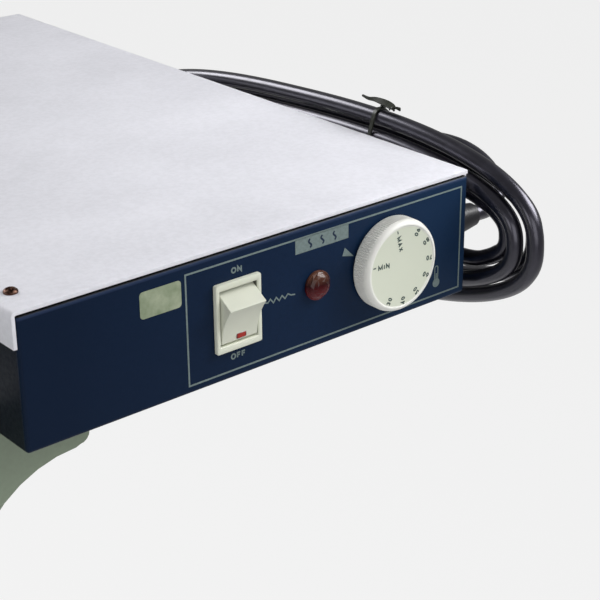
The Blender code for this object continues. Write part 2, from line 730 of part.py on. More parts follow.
def make_fan():
    centre = (FAN_CENTRE_X, 0)
    mid = (SCROLL_TOP + SCROLL_FLOOR) / 2
    scroll = extruded("fan_scroll", [scroll_outline(0, OUTLET_X)], SCROLL_HEIGHT, plane_xy(mid), GREY_GREEN)
    chamber = extruded(
        "scroll_chamber", [scroll_outline(SCROLL_WALL, OUTLET_X - OVERRUN)], SCROLL_HEIGHT - 2 * SCROLL_WALL, plane_xy(mid)
    )
    inlet = rod("scroll_inlet", (*centre, mid), (*centre, SCROLL_TOP + OVERRUN), GASKET_INNER)
    shaft_hole = rod("scroll_shaft_hole", (*centre, SCROLL_FLOOR - OVERRUN), (*centre, mid), MOTOR_BOSS + SEAT)
    cut(scroll, chamber, inlet, shaft_hole)
    inner, outer, low, high = GASKET_INNER, GASKET_OUTER, GASKET_TOP - GASKET_THICK, GASKET_TOP
    ring = [(inner, low), (inner, high), (outer, high), (outer, low)]
    turned("duct_gasket", ring, (0, 0, 0), (0, 0, 1), RUBBER, closed=True).location = (*centre, 0)

    motor_top = SCROLL_FLOOR - SEAT
    low = motor_top - MOTOR_HEIGHT
    boss_top = SCROLL_FLOOR + SCROLL_WALL
    shaft_top = boss_top + IMPELLER_HEIGHT
    profile = [
        (0, shaft_top),
        (SHAFT_RADIUS, shaft_top),
        (SHAFT_RADIUS, boss_top),
        (MOTOR_BOSS, boss_top),
        (MOTOR_BOSS, motor_top),
        (MOTOR_RADIUS, motor_top),
        (MOTOR_RADIUS, low + MOTOR_SHOULDER),
        (MOTOR_RADIUS - MOTOR_SHOULDER, low),
        (0, low),
    ]
    turned("fan_motor", profile, (*centre, 0), (0, 0, 1), BLACK)

    disc_low = boss_top + IMPELLER_DISC
    profile = [
        (SHAFT_RADIUS + RUNNING, disc_low + IMPELLER_HEIGHT / 2),
        (IMPELLER_HUB, disc_low + IMPELLER_HEIGHT / 2),
        (IMPELLER_HUB, disc_low + IMPELLER_DISC),
        (IMPELLER_RADIUS, disc_low + IMPELLER_DISC),
        (IMPELLER_RADIUS, disc_low),
        (SHAFT_RADIUS + RUNNING, disc_low),
    ]
    impeller = turned("fan_impeller", profile, (*centre, 0), (0, 0, 1), ALUMINIUM, closed=True)
    blades = []
    blade_length = IMPELLER_RADIUS - IMPELLER_HUB - IMPELLER_RING
    for index in range(BLADE_COUNT):
        blade = block(
            f"impeller_blade_{index}",
            (-blade_length / 2, -BLADE_THICK / 2, disc_low + IMPELLER_DISC / 2),
            (blade_length / 2, BLADE_THICK / 2, disc_low + IMPELLER_HEIGHT),
        )
        angle = math.tau * index / BLADE_COUNT
        middle = (IMPELLER_RADIUS + IMPELLER_HUB) / 2
        blade.location.x = FAN_CENTRE_X + middle * math.cos(angle)
        blade.location.y = middle * math.sin(angle)
        blade.rotation_euler.z = angle + math.radians(BLADE_TWIST)
        blades.append(blade)
    join(impeller, *blades)

    grille_y = SCROLL_LARGE - OUTLET_WIDTH
    grille = block(
        "exhaust_grille",
        (OUTLET_X - SEAT - GRILLE_THICK, grille_y, SCROLL_FLOOR),
        (OUTLET_X - SEAT, SCROLL_LARGE, SCROLL_TOP),
        BLACK,
        bevel=PIN_CLEAR * 2,
    )
    pitch = (SCROLL_HEIGHT - 2 * GRILLE_MARGIN) / GRILLE_SLOTS
    for index in range(GRILLE_SLOTS):
        z = SCROLL_FLOOR + GRILLE_MARGIN + (index + 0.5) * pitch
        slot = block(
            f"grille_slot_{index}",
            (OUTLET_X - OVERRUN * 2, grille_y + GRILLE_MARGIN, z - GRILLE_SLOT_WIDTH / 2),
            (OUTLET_X + OVERRUN, SCROLL_LARGE - GRILLE_MARGIN, z + GRILLE_SLOT_WIDTH / 2),
        )
        cut(grille, slot)


def make_motor_lead():
    """The motor's lead, along the underside of the board into the control box."""
    along = BASE - SEAT - MOTOR_LEAD_RADIUS
    side = FAN_CENTRE_X + MOTOR_RADIUS + SEAT
    motor_z = SCROLL_FLOOR - MOTOR_HEIGHT / 2
    past_scroll = FAN_CENTRE_X + SCROLL_LARGE + MOTOR_LEAD_BEND
    entry = BOX_LEFT + MOTOR_LEAD_ENTRY
    knots = [
        (side, 0, motor_z),
        (side + MOTOR_LEAD_BEND / 2, 0, motor_z),
        (past_scroll - MOTOR_LEAD_BEND / 2, 0, motor_z + MOTOR_LEAD_BEND / 3),
        (past_scroll, 0, (motor_z + along) / 2),
        (past_scroll + MOTOR_LEAD_BEND, 0, along - MOTOR_LEAD_RADIUS),
        (past_scroll + 2 * MOTOR_LEAD_BEND, 0, along - MOTOR_LEAD_RADIUS),
        (entry - 2 * MOTOR_LEAD_BEND, 0, along - MOTOR_LEAD_RADIUS),
        (entry - MOTOR_LEAD_BEND / 3, 0, along - 2 * MOTOR_LEAD_RADIUS),
        (entry, 0, BASE + MOTOR_LEAD_BEND / 3),
        (entry, 0, BASE + MOTOR_LEAD_BEND),
    ]
    wire("motor_lead", list(smooth_path(knots, 40)), MOTOR_LEAD_RADIUS, BLACK, 2)


# Legs
def tube(name, start, end, radius, wall, finish, steps=20):
    """A round tube, open at both ends."""
    length = (Vector(end) - Vector(start)).length
    ring = [(radius - wall, 0), (radius - wall, length), (radius, length), (radius, 0)]
    return turned(name, ring, start, Vector(end) - Vector(start), finish, steps, closed=True)


def cross_hole(name, point, radius):
    """A hole along Y, right across the stand."""
    reach = BAR_REACH + OVERRUN
    return rod(name, (point.x, -reach, point.z), (point.x, reach, point.z), radius, sides=16)


def make_leg(side, sign, frame, y, top, foot, foot_cutter, holes):
    along = (top - foot).normalized()
    start = top + along * LEG_END
    leg = tube(
        f"{frame}_leg_{side}", (start.x, sign * y, start.z), (foot.x, sign * y, foot.z), LEG_RADIUS, LEG_WALL, GREY_GREEN
    )
    cut(leg, foot_cutter, *holes)


def make_foot_bar(frame, foot):
    """A foot bar and its two rubber end caps."""
    tube(f"{frame}_foot_bar", (foot.x, -BAR_REACH, foot.z), (foot.x, BAR_REACH, foot.z), BAR_RADIUS, BAR_WALL, GREY_GREEN)
    for side, sign in (("front", -1), ("rear", 1)):
        inner = sign * (BAR_REACH - CAP_BOTTOM)
        outer = inner + sign * CAP_LENGTH
        cap = block(
            f"{frame}_foot_cap_{side}",
            (foot.x - FOOT_RISE, min(inner, outer), 0),
            (foot.x + FOOT_RISE, max(inner, outer), 2 * FOOT_RISE),
            RUBBER,
            bevel=CAP_BEVEL,
        )
        bore = rod(
            f"{frame}_cap_bore_{side}",
            (foot.x, inner - sign * OVERRUN, foot.z),
            (foot.x, sign * (BAR_REACH + SEAT), foot.z),
            BAR_RADIUS + SEAT,
            sides=20,
        )
        cut(cap, bore)


def stepped_pin(name, point, steps, finish, sign, turns=16):
    """A turned pin along Y: steps are (distance from the middle, radius up to there), outwards."""
    profile = []
    for (start, _), (end, radius) in zip(steps, steps[1:]):
        profile = [(radius, end), (radius, start), *profile]
    profile = [(0, steps[-1][0]), *profile, (0, steps[0][0])]
    return turned(name, profile, (point.x, 0, point.z), (0, sign, 0), finish, turns)


def make_stand():
    pin_hole = PIN_RADIUS + PIN_CLEAR
    pivot = Vector((PIVOT_X, 0, PIVOT_Z))
    pivot_hole = cross_hole("pivot_hole", pivot, pin_hole)
    scissor_hole = cross_hole("scissor_hole", CROSS, pin_hole)
    slider_hole = cross_hole("slider_hole", SLIDER, pin_hole)
    wide_bar = cross_hole("wide_bar_cope", WIDE_FOOT, BAR_RADIUS + SEAT)
    narrow_bar = cross_hole("narrow_bar_cope", NARROW_FOOT, BAR_RADIUS + SEAT)
    wide_inner, wide_outer = WIDE_Y - LEG_RADIUS - SEAT, WIDE_Y + LEG_RADIUS + SEAT
    narrow_inner, narrow_outer = NARROW_Y - LEG_RADIUS - SEAT, NARROW_Y + LEG_RADIUS + SEAT
    cheek_inner, cheek_outer = CHEEK_Y - CHEEK_SHEET / 2 - SEAT, CHEEK_Y + CHEEK_SHEET / 2 + SEAT
    for side, sign in (("front", -1), ("rear", 1)):
        make_leg(side, sign, "wide", WIDE_Y, pivot, WIDE_FOOT, wide_bar, (pivot_hole, scissor_hole))
        make_leg(side, sign, "narrow", NARROW_Y, SLIDER, NARROW_FOOT, narrow_bar, (slider_hole, scissor_hole))
        bolt = [
            (wide_inner - PIN_HEAD, 0),
            (wide_inner, PIN_HEAD_RADIUS),
            (wide_outer, PIN_RADIUS),
            (cheek_inner, COLLAR_RADIUS),
            (cheek_outer, PIN_RADIUS),
        ]
        if side == "front":
            bolt.append((cheek_outer + KNOB_THICK / 2, PIN_RADIUS - RUNNING))
        else:
            bolt.append((cheek_outer + PIN_HEAD, PIN_HEAD_RADIUS))
        stepped_pin(f"pivot_bolt_{side}", pivot, bolt, STEEL, sign)
        bolt = [
            (narrow_inner - PIN_HEAD, 0),
            (narrow_inner, PIN_HEAD_RADIUS),
            (narrow_outer, PIN_RADIUS),
            (wide_inner, COLLAR_RADIUS),
            (wide_outer, PIN_RADIUS),
            (wide_outer + PIN_HEAD, PIN_HEAD_RADIUS),
        ]
        stepped_pin(f"scissor_bolt_{side}", CROSS, bolt, STEEL, sign)
        slider_start = RAIL_INNER + RAIL_WALL + RUNNING
        slider = [
            (slider_start, 0),
            (slider_start + SLIDER_LENGTH, SLIDER_RADIUS),
            (narrow_outer + SEAT, PIN_RADIUS),
        ]
        stepped_pin(f"slider_{side}", SLIDER, slider, BLACK, sign)
    make_foot_bar("wide", WIDE_FOOT)
    make_foot_bar("narrow", NARROW_FOOT)
    brace = NARROW_FOOT + (SLIDER - NARROW_FOOT).normalized() * BRACE_RISE
    rod(
        "narrow_brace",
        (brace.x, -narrow_inner, brace.z),
        (brace.x, narrow_inner, brace.z),
        BRACE_RADIUS,
        GREY_GREEN,
        16,
    )


def make_clamp_knob():
    """The fluted knob on the front pivot bolt."""
    seat_y = -(CHEEK_Y + CHEEK_SHEET / 2 + SEAT)
    outline = []
    for step in range(KNOB_FLUTES * 8):
        angle = math.tau * step / (KNOB_FLUTES * 8)
        wave = (1 + math.cos(KNOB_FLUTES * angle)) / 2
        radius = KNOB_RADIUS - KNOB_FLUTE * wave * wave
        outline.append((PIVOT_X + radius * math.cos(angle), PIVOT_Z + radius * math.sin(angle)))
    knob = extruded("clamp_knob", [outline], KNOB_THICK, plane_xz(seat_y - KNOB_THICK / 2), BLACK)
    rounding = knob.modifiers.new("rounding", "BEVEL")
    rounding.width = KNOB_BEVEL
    rounding.segments = 1
    rounding.angle_limit = math.radians(60)
    bore = rod(
        "knob_bore",
        (PIVOT_X, seat_y + OVERRUN, PIVOT_Z),
        (PIVOT_X, seat_y - KNOB_THICK / 2 - 2 * RUNNING, PIVOT_Z),
        PIN_RADIUS,
        sides=16,
    )
    cut(knob, bore)


def make_pedal():
    """The foot pedal on the narrow foot bar, hinged at its rear."""
    front, rear = PEDAL_REAR_Y - PEDAL_LENGTH, PEDAL_REAR_Y
    base_top = PEDAL_FLOOR + PEDAL_BASE_THICK
    hinge_z = base_top + PEDAL_CLEAR
    start = NARROW_FOOT.x + BAR_RADIUS + CAP_BEVEL
    end = start + PEDAL_WIDTH
    base = block("pedal_base", (NARROW_FOOT.x + BAR_RADIUS / 2, front, PEDAL_FLOOR), (end, rear, base_top), BLACK)
    cut(base, cross_hole("pedal_bar_cope", NARROW_FOOT, BAR_RADIUS + SEAT))
    ears = []
    pins = rod("pedal_pin", (start, rear - PEDAL_EAR, hinge_z), (end, rear - PEDAL_EAR, hinge_z), PEDAL_HINGE_RADIUS)
    for name, x in (("left", start), ("right", end - PEDAL_EAR)):
        low = (x, rear - 2 * PEDAL_EAR, base_top - SEAT)
        ears.append(block(f"pedal_ear_{name}", low, (x + PEDAL_EAR, rear, hinge_z + PEDAL_EAR)))
    join(base, *ears)
    bore = rod(
        "pedal_ear_bore",
        (start - OVERRUN, rear - PEDAL_EAR, hinge_z),
        (end + OVERRUN, rear - PEDAL_EAR, hinge_z),
        PEDAL_HINGE_RADIUS + PIN_CLEAR,
    )
    cut(base, bore)
    between = PEDAL_EAR + RUNNING
    pedal = block(
        "foot_pedal",
        (start + between, front, hinge_z - PEDAL_THICK / 2),
        (end - between, rear - PEDAL_EAR, hinge_z + PEDAL_THICK / 2),
        RUBBER,
    )
    join(pedal, pins)


# Control box
def front_hole(name, x, z, radius):
    """A round hole through the box's front."""
    return rod(name, (x, FRONT - OVERRUN, z), (x, FRONT + OVERRUN, z), radius)


def open_box(name, low, high, finish, gone, rim, bend, wall):
    """A folded sheet box: the faces named by their outward direction are left out, and a rim is left round the top."""
    low, high = Vector(low), Vector(high)

    def make(shape):
        bmesh.ops.create_cube(shape, size=1.0)
        bmesh.ops.scale(shape, vec=high - low, verts=shape.verts)
        shape.normal_update()
        missing = [face for face in shape.faces for way in gone if face.normal.dot(Vector(way)) > 0.9]
        if rim:
            bmesh.ops.inset_region(shape, faces=missing, thickness=rim)
        bmesh.ops.delete(shape, geom=missing, context="FACES")

    obj = mesh_object(name, make, finish)
    obj.location = (low + high) / 2
    rounding = obj.modifiers.new("bends", "BEVEL")
    rounding.width = bend
    rounding.segments = 3
    rounding.limit_method = "ANGLE"
    return sheet(obj, wall)


def make_control_box():
    box = open_box(
        "control_box",
        (BOX_LEFT, FRONT, BASE),
        (BOX_RIGHT, -FRONT, BASE + BOX_HEIGHT),
        NAVY,
        [(0, 0, 1)],
        BOX_RIM,
        BOX_BEND,
        BOX_SHEET,
    )
    body_left = BOX_LEFT + SWITCH_LEFT + SWITCH_BODY_INSET - SEAT
    body_right = BOX_LEFT + SWITCH_LEFT + SWITCH_WIDTH - SWITCH_BODY_INSET + SEAT
    body_low = BASE + SWITCH_LOW + SWITCH_BODY_INSET - SEAT
    body_high = BASE + SWITCH_LOW + SWITCH_HEIGHT - SWITCH_BODY_INSET + SEAT
    switch_hole = block("switch_hole", (body_left, FRONT - OVERRUN, body_low), (body_right, FRONT + OVERRUN, body_high))
    lamp_hole = front_hole("lamp_hole", BOX_LEFT + LAMP_X, BASE + LAMP_Z, LAMP_STEM + SEAT)
    spindle_hole = front_hole("spindle_hole", BOX_LEFT + DIAL_X, BASE + DIAL_Z, SPINDLE_RADIUS + PIN_CLEAR)
    gland_hole = rod(
        "gland_hole",
        (BOX_RIGHT - OVERRUN, FRONT + GLAND_Y, BASE + GLAND_Z),
        (BOX_RIGHT + OVERRUN, FRONT + GLAND_Y, BASE + GLAND_Z),
        GLAND_SHANK + SEAT,
    )
    conduit_hole = rod(
        "box_conduit_hole",
        (BOX_LEFT - OVERRUN, CONDUIT_Y, BASE + CONDUIT_Z),
        (BOX_LEFT + OVERRUN, CONDUIT_Y, BASE + CONDUIT_Z),
        CONDUIT_RADIUS + SEAT,
    )
    entry = BOX_LEFT + MOTOR_LEAD_ENTRY
    lead_hole = rod("motor_lead_hole", (entry, 0, BASE - OVERRUN), (entry, 0, BASE + OVERRUN), 3 * MOTOR_LEAD_RADIUS)
    cut(box, switch_hole, lamp_hole, spindle_hole, gland_hole, conduit_hole, lead_hole, *BOLT_HOLES["box"])


def make_rest():
    """The white iron rest that covers the box, flanged at both ends and the back, and its two screws."""
    top = BASE + BOX_HEIGHT + REST_GAP + REST_SHEET
    side = SEAT + REST_SHEET
    rest = open_box(
        "iron_rest",
        (BOX_LEFT - side, FRONT, top - REST_FLANGE),
        (BOX_RIGHT + side, -FRONT + side, top),
        WHITE_COAT,
        [(0, 0, -1), (0, -1, 0)],
        0,
        REST_BEND,
        REST_SHEET,
    )
    x = BOX_LEFT + SCREW_INSET_X
    for name, y in (("front", FRONT + SCREW_INSET_Y), ("rear", -FRONT - SCREW_INSET_Y)):
        seat = top + SEAT
        head = [(0, seat + SCREW_RISE)]
        for share in (0.5, 0.85):
            head.append((SCREW_HEAD * share, seat + SCREW_RISE * (1 - share**4)))
        head += [
            (SCREW_HEAD, seat + SCREW_RISE / 3),
            (SCREW_HEAD, seat),
            (SCREW_SHANK, seat),
            (SCREW_SHANK, seat - SCREW_LENGTH),
            (0, seat - SCREW_LENGTH),
        ]
        turned(f"cover_screw_{name}", head, (x, y, 0), (0, 0, 1), BROWN_STEEL, 16)
        hole = rod(f"cover_screw_hole_{name}", (x, y, top - OVERRUN), (x, y, top + OVERRUN), SCREW_SHANK + SEAT, sides=12)
        cut(rest, hole)
        cut(bpy.data.objects["control_box"], hole)


def rocker_outline():
    """The rocker's side, as (out of the box, up) from its pivot: ends that are arcs about the pivot, a hollow face."""
    back, radius = ROCKER_BACK_ANGLE, ROCKER_RADIUS
    top = arc((0, 0), radius, 90 + back, 90 - ROCKER_RIDGE_ANGLE, 9)
    bottom = arc((0, 0), radius, -90 + ROCKER_FLUSH_ANGLE, -90 - back, 6)
    ridge, flush = np.array(top[-1]), np.array(bottom[0])
    middle = (ridge + flush) / 2 - (ROCKER_HOLLOW, 0)
    shares = np.linspace(0, 1, 9)[1:-1, None]
    face = ridge * (1 - shares) ** 2 + 2 * middle * shares * (1 - shares) + flush * shares**2
    return top + [tuple(point) for point in face] + bottom, face


def make_switch():
    left, low = BOX_LEFT + SWITCH_LEFT, BASE + SWITCH_LOW
    right, high = left + SWITCH_WIDTH, low + SWITCH_HEIGHT
    inset = SWITCH_BODY_INSET
    housing = block("switch_housing", (left, FRONT - SEAT - BEZEL_THICK, low), (right, FRONT - SEAT, high), CREAM)
    body = block(
        "switch_body",
        (left + inset, FRONT - BEZEL_THICK / 2, low + inset),
        (right - inset, FRONT + SWITCH_BODY_DEPTH, high - inset),
    )
    cavity = block(
        "switch_cavity",
        (left + SWITCH_WALL_X, FRONT - BEZEL_THICK - OVERRUN, low + SWITCH_WALL_Z),
        (right - SWITCH_WALL_X, FRONT + ROCKER_RADIUS, high - SWITCH_WALL_Z),
    )
    cut(join(housing, body), cavity)

    pivot = Vector(((left + right) / 2, FRONT + ROCKER_PIVOT_DEPTH, (low + high) / 2))
    outline, face = rocker_outline()
    width = SWITCH_WIDTH - 2 * SWITCH_WALL_X - 2 * ROCKER_SIDE_GAP
    matrix = Matrix.Translation(pivot) @ Matrix(((0, 0, -1, 0), (-1, 0, 0, 0), (0, 1, 0, 0), (0, 0, 0, 1)))
    rocker = extruded("rocker", [outline], width, matrix, CREAM)
    surface = float(np.interp(-LENS_DROP, face[::-1, 1], face[::-1, 0]))
    outer = pivot.y - surface - LENS_PROUD
    middle_z = pivot.z - LENS_DROP
    low_corner = (pivot.x - LENS_WIDTH / 2, outer, middle_z - LENS_HEIGHT / 2)
    high_corner = (pivot.x + LENS_WIDTH / 2, outer + LENS_THICK, middle_z + LENS_HEIGHT / 2)
    block("rocker_lens", low_corner, high_corner, RED_LENS)
    room = Vector((SEAT, 0, SEAT))
    pocket = block(
        "lens_pocket",
        Vector(low_corner) - room - Vector((0, OVERRUN, 0)),
        Vector(high_corner) + room + Vector((0, SEAT, 0)),
    )
    cut(rocker, pocket)


def make_lamp():
    x, z = BOX_LEFT + LAMP_X, BASE + LAMP_Z
    seat = SEAT
    dome = [(0, seat + LAMP_FLANGE + LAMP_DOME)]
    dome += [
        (LAMP_RADIUS * 0.95 * math.sin(a), seat + LAMP_FLANGE + LAMP_DOME * math.cos(a))
        for a in np.radians((22, 44, 66, 86))
    ]
    depth = BOX_SHEET + LAMP_BODY_LENGTH / 2
    dome += [(LAMP_RADIUS, seat + LAMP_FLANGE), (LAMP_RADIUS, seat), (LAMP_STEM, seat), (LAMP_STEM, -depth), (0, -depth)]
    turned("lamp_lens", dome, (x, FRONT, z), (0, -1, 0), RED_LENS, 24)
    near, far = -BOX_SHEET - SEAT, -BOX_SHEET - LAMP_BODY_LENGTH
    inner, outer = LAMP_STEM + SEAT, LAMP_RADIUS + LAMP_FLANGE
    back = -depth - SEAT
    body = [(0, back), (inner, back), (inner, near), (outer, near), (outer, far), (0, far)]
    turned("lamp_body", body, (x, FRONT, z), (0, -1, 0), BLACK, 20)


def make_thermostat():
    x, z = BOX_LEFT + DIAL_X, BASE + DIAL_Z
    back, face = DIAL_STANDOFF, DIAL_STANDOFF + DIAL_THICK
    rim = DIAL_RADIUS - DIAL_CHAMFER
    profile = [
        (0, face - DIAL_DISH),
        (rim - 2 * DIAL_CHAMFER, face - DIAL_DISH),
        (rim - DIAL_CHAMFER, face),
        (rim, face),
        (DIAL_RADIUS, face - DIAL_CHAMFER),
        (DIAL_RADIUS, back),
        (SPINDLE_RADIUS, back),
        (SPINDLE_RADIUS, -SPINDLE_LENGTH),
        (0, -SPINDLE_LENGTH),
    ]
    turned("thermostat_dial", profile, (x, FRONT, z), (0, -1, 0), CREAM, 48)
    half = THERMOSTAT_WIDTH / 2
    front = FRONT + BOX_SHEET + SEAT
    body = block("thermostat_body", (x - half, front, z - half), (x + half, front + THERMOSTAT_DEPTH, z + half), BLACK)
    bore = rod(
        "thermostat_bore", (x, front - OVERRUN, z), (x, FRONT + SPINDLE_LENGTH + RUNNING, z), SPINDLE_RADIUS + PIN_CLEAR
    )
    cut(body, bore)


def make_box_fittings():
    start = BOARD_RIGHT - TUB_INSET - TUB_SHEET - CONDUIT_RADIUS
    end = BOX_LEFT + BOX_SHEET + CONDUIT_RADIUS
    y, z = CONDUIT_Y, BASE + CONDUIT_Z
    tube("wiring_conduit", (start, y, z), (end, y, z), CONDUIT_RADIUS, CONDUIT_WALL, BLACK)
    gland = [
        (0, GLAND_REACH),
        (GLAND_MOUTH, GLAND_REACH),
        (GLAND_NUT_RADIUS * 0.8, GLAND_NUT + OVERRUN),
        (GLAND_NUT_RADIUS * 0.85, GLAND_NUT),
        (GLAND_NUT_RADIUS, GLAND_NUT),
        (GLAND_NUT_RADIUS, SEAT),
        (GLAND_SHANK, SEAT),
        (GLAND_SHANK, -GLAND_INSIDE),
        (0, -GLAND_INSIDE),
    ]
    turned("cable_gland", gland, (BOX_RIGHT, FRONT + GLAND_Y, BASE + GLAND_Z), (1, 0, 0), BLACK, 24)


# Mains cord
def coil_point(angle):
    """A point of the coil's line: four flattened loops, one inside the next, at a turning angle from its back end."""
    slot = int((angle - COIL_START_ANGLE) / math.tau)
    share = 0.0
    if slot < COIL_TURNS - 1:
        start, end = COIL_SHIFT_ANGLES[slot]
        share = (angle - COIL_START_ANGLE - slot * math.tau - start) / (end - start)
        share = min(max(share, 0), 1)
        share = share * share * (3 - 2 * share)
    here = np.array(COIL_SLOT_SHARES[slot])
    after = np.array(COIL_SLOT_SHARES[min(slot + 1, COIL_TURNS - 1)])
    across, inset = (here + (after - here) * share) * 2 * CORD_RADIUS
    power = 2 / COIL_POWER
    c, s = math.cos(angle), math.sin(angle)
    along = math.copysign((COIL_HALF_LENGTH - inset) * abs(c) ** power, c)
    up = math.copysign((COIL_HALF_HEIGHT - inset) * abs(s) ** power, s)
    return coil_place(across, along, up)


def coil_place(across, along, up):
    """A place in the tilted coil, as a world point."""
    tilt = math.radians(COIL_TILT)
    y = FRONT + COIL_Y + along * math.cos(tilt) - up * math.sin(tilt)
    z = BASE + COIL_Z + along * math.sin(tilt) + up * math.cos(tilt)
    return (BOX_RIGHT + across, y, z)


def coil_line():
    end = COIL_END_ANGLE + math.tau * COIL_TURNS
    count = int(COIL_POINTS * (end - COIL_START_ANGLE) / math.tau)
    turns = [coil_point(angle) for angle in np.linspace(COIL_START_ANGLE, end, count)]
    across = COIL_SLOT_SHARES[-1][0] * 2 * CORD_RADIUS
    inset = COIL_SLOT_SHARES[-1][1] * 2 * CORD_RADIUS
    lift = PLUG_RADIUS - (COIL_HALF_HEIGHT - inset - CORD_RADIUS - SEAT)
    low = -(COIL_HALF_HEIGHT - inset) * abs(math.sin(end)) ** (2 / COIL_POWER)
    reach, plug = -COIL_HALF_LENGTH * 0.74, -COIL_HALF_LENGTH / 4
    tail = [turns[-1]]
    for share, rise in COIL_RISE:
        out = across + (PLUG_OUT - across) * share
        tail.append(coil_place(out, reach + (plug - reach) * share, low + (lift - low) * rise))
    joined = smooth_path([turns[-3], turns[-2], *tail], 14)
    return turns[:-3] + [tuple(point) for point in joined], plug, lift


def least_gap(points, radius):
    """The narrowest gap between stretches of a tube that are at least a quarter turn apart along it."""
    points = np.array(points)
    dense = np.vstack([a + (b - a) * s for a, b in zip(points, points[1:]) for s in np.linspace(0, 1, 6)[:-1]])
    apart = np.linalg.norm(dense[:, None] - dense[None], axis=2)
    index = np.arange(len(dense))
    near = np.abs(index[:, None] - index[None]) < COIL_POINTS
    apart[near] = np.inf
    return float(apart.min()) - 2 * radius


def hull(points):
    """The convex outline round flat points, anticlockwise."""
    points = sorted(set(points))

    def half(ordered):
        kept = []
        for x, y in ordered:
            while len(kept) > 1:
                (ax, ay), (bx, by) = kept[-2:]
                if (bx - ax) * (y - ay) - (by - ay) * (x - ax) > 0:
                    break
                kept.pop()
            kept.append((x, y))
        return kept[:-1]

    return half(points) + half(points[::-1])


def make_cord():
    line, plug_along, plug_up = coil_line()
    gap = least_gap(line, CORD_RADIUS)
    print(f"coil: least gap {gap * 1000:.2f} mm")
    wire("cord_coil", line, CORD_RADIUS, CORD_BLACK, 1)
    first = np.array(line[0])
    heading = first - np.array(line[1])
    heading /= np.linalg.norm(heading)
    route = [(BOX_RIGHT + x, FRONT + y, BASE + z) for x, y, z in CORD_ROUTE]
    meeting = first + heading * SEAT
    knots = [*route, tuple(meeting + heading * 3 * CORD_RADIUS)]
    wire("power_cord", [*smooth_path(knots, 34), meeting], CORD_RADIUS, CORD_BLACK, 2)

    tie_y = FRONT + TIE_Y
    strands = []
    for turn in range(COIL_TURNS):
        angles = np.linspace(math.pi / 2, math.pi * 0.95, 60) + math.tau * turn
        near = min((coil_point(angle) for angle in angles), key=lambda point: abs(point[1] - tie_y))
        strands.append((near[0], near[2]))
    outlines = []
    for spare in (2 * SEAT + TIE_THICK, 2 * SEAT):
        ring = [point for strand in strands for point in arc(strand, CORD_RADIUS * 1.06 + spare, 0, 337.5, 16)]
        outlines.append(hull(ring))
    tie = extruded("cable_tie", outlines, TIE_WIDTH, plane_xz(tie_y), BLACK)
    top = max(z for _, z in strands) + CORD_RADIUS + 2 * SEAT
    left = min(x for x, z in strands if z > top - 3 * CORD_RADIUS)
    head = block(
        "tie_head", (left - TIE_HEAD / 2, tie_y - TIE_HEAD, top), (left + TIE_HEAD / 2, tie_y + TIE_WIDTH, top + TIE_HEAD)
    )
    tail_low = (left - TIE_WIDTH / 2, tie_y, top + TIE_HEAD - 2 * TIE_THICK)
    tail = block("tie_tail", tail_low, (left + TIE_WIDTH / 2, tie_y + TIE_TAIL, top + TIE_HEAD - TIE_THICK))
    join(tie, head, tail)

    start = Vector(coil_place(PLUG_OUT, plug_along, plug_up))
    along = (Vector(coil_place(PLUG_OUT, plug_along + PLUG_LENGTH, plug_up)) - start).normalized()
    profile = [
        (0, PLUG_NECK + PLUG_LENGTH),
        (PLUG_RADIUS * 0.92, PLUG_NECK + PLUG_LENGTH),
        (PLUG_RADIUS, PLUG_NECK + PLUG_LENGTH * 0.9),
        (PLUG_RADIUS, PLUG_NECK),
        (PLUG_RADIUS * 0.45, PLUG_NECK * 0.55),
        (CORD_RADIUS * 1.25, SEAT),
        (0, SEAT),
    ]
    turned("plug", profile, start, along, BLACK, 24)
    seat = start + along * (PLUG_NECK + PLUG_LENGTH + SEAT)
    across_pins = Vector((1, 0, 0)).cross(along).normalized() * (PLUG_PIN_PITCH / 2)
    for name, sign in (("upper", 1), ("lower", -1)):
        foot = seat + across_pins * sign
        rod(f"plug_pin_{name}", foot, foot + along * PLUG_PIN_LENGTH, PLUG_PIN_RADIUS, STEEL, 12)


def make_hanger():
    """The bent strip on the box's right wall over which the coil hangs."""
    middle = COIL_Y
    inner = []
    last = math.tau * (COIL_TURNS - 1)
    for angle in np.linspace(0.2, math.pi - 0.2, 120):
        point = coil_point(last + angle)
        if abs(point[1] - FRONT - middle) < HANGER_WIDTH / 2 + CORD_RADIUS:
            inner.append(point[2])
    arm = min(inner) - CORD_RADIUS * 1.06 - SEAT
    wall, reach, thick = BOX_RIGHT + SEAT, BOX_RIGHT + HANGER_REACH, HANGER_SHEET
    outline = [
        (wall, arm - HANGER_ROOT),
        (wall + thick, arm - HANGER_ROOT),
        (wall + thick, arm - thick),
        (reach, arm - thick),
        (reach, arm + HANGER_LIP),
        (reach - thick, arm + HANGER_LIP),
        (reach - thick, arm),
        (wall, arm),
    ]
    extruded("cord_hanger", [outline], HANGER_WIDTH, plane_xz(FRONT + middle), STEEL)


make_board()
make_capillary()
for side_name, side_sign in (("front", -1), ("rear", 1)):
    make_cheek(side_name, side_sign)
    make_rail(side_name, side_sign)
cut(bpy.data.objects["board_tub"], *BOLT_HOLES["board"])
make_fan()
make_motor_lead()
make_stand()
make_clamp_knob()
make_pedal()
make_control_box()
make_rest()
make_switch()
make_lamp()
make_thermostat()
make_box_fittings()
make_cord()
make_hanger()
for part in PARTS.objects:
    if part.type != "MESH":
        continue
    part.data.shade_smooth()
    part.data.set_sharp_from_angle(angle=math.radians(35))
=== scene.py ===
"""Vacuum ironing table: the finishes, the printed control panel, the covered board and the mains cord that dress the
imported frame, with a plain studio round it. Metres, +Z up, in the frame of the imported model."""

import json
import math

import bmesh
import bpy
import numpy as np
from bpy.props import FloatProperty, FloatVectorProperty, IntProperty, PointerProperty
from bpy.types import Operator, Panel, PropertyGroup
from mathutils import Matrix, Vector


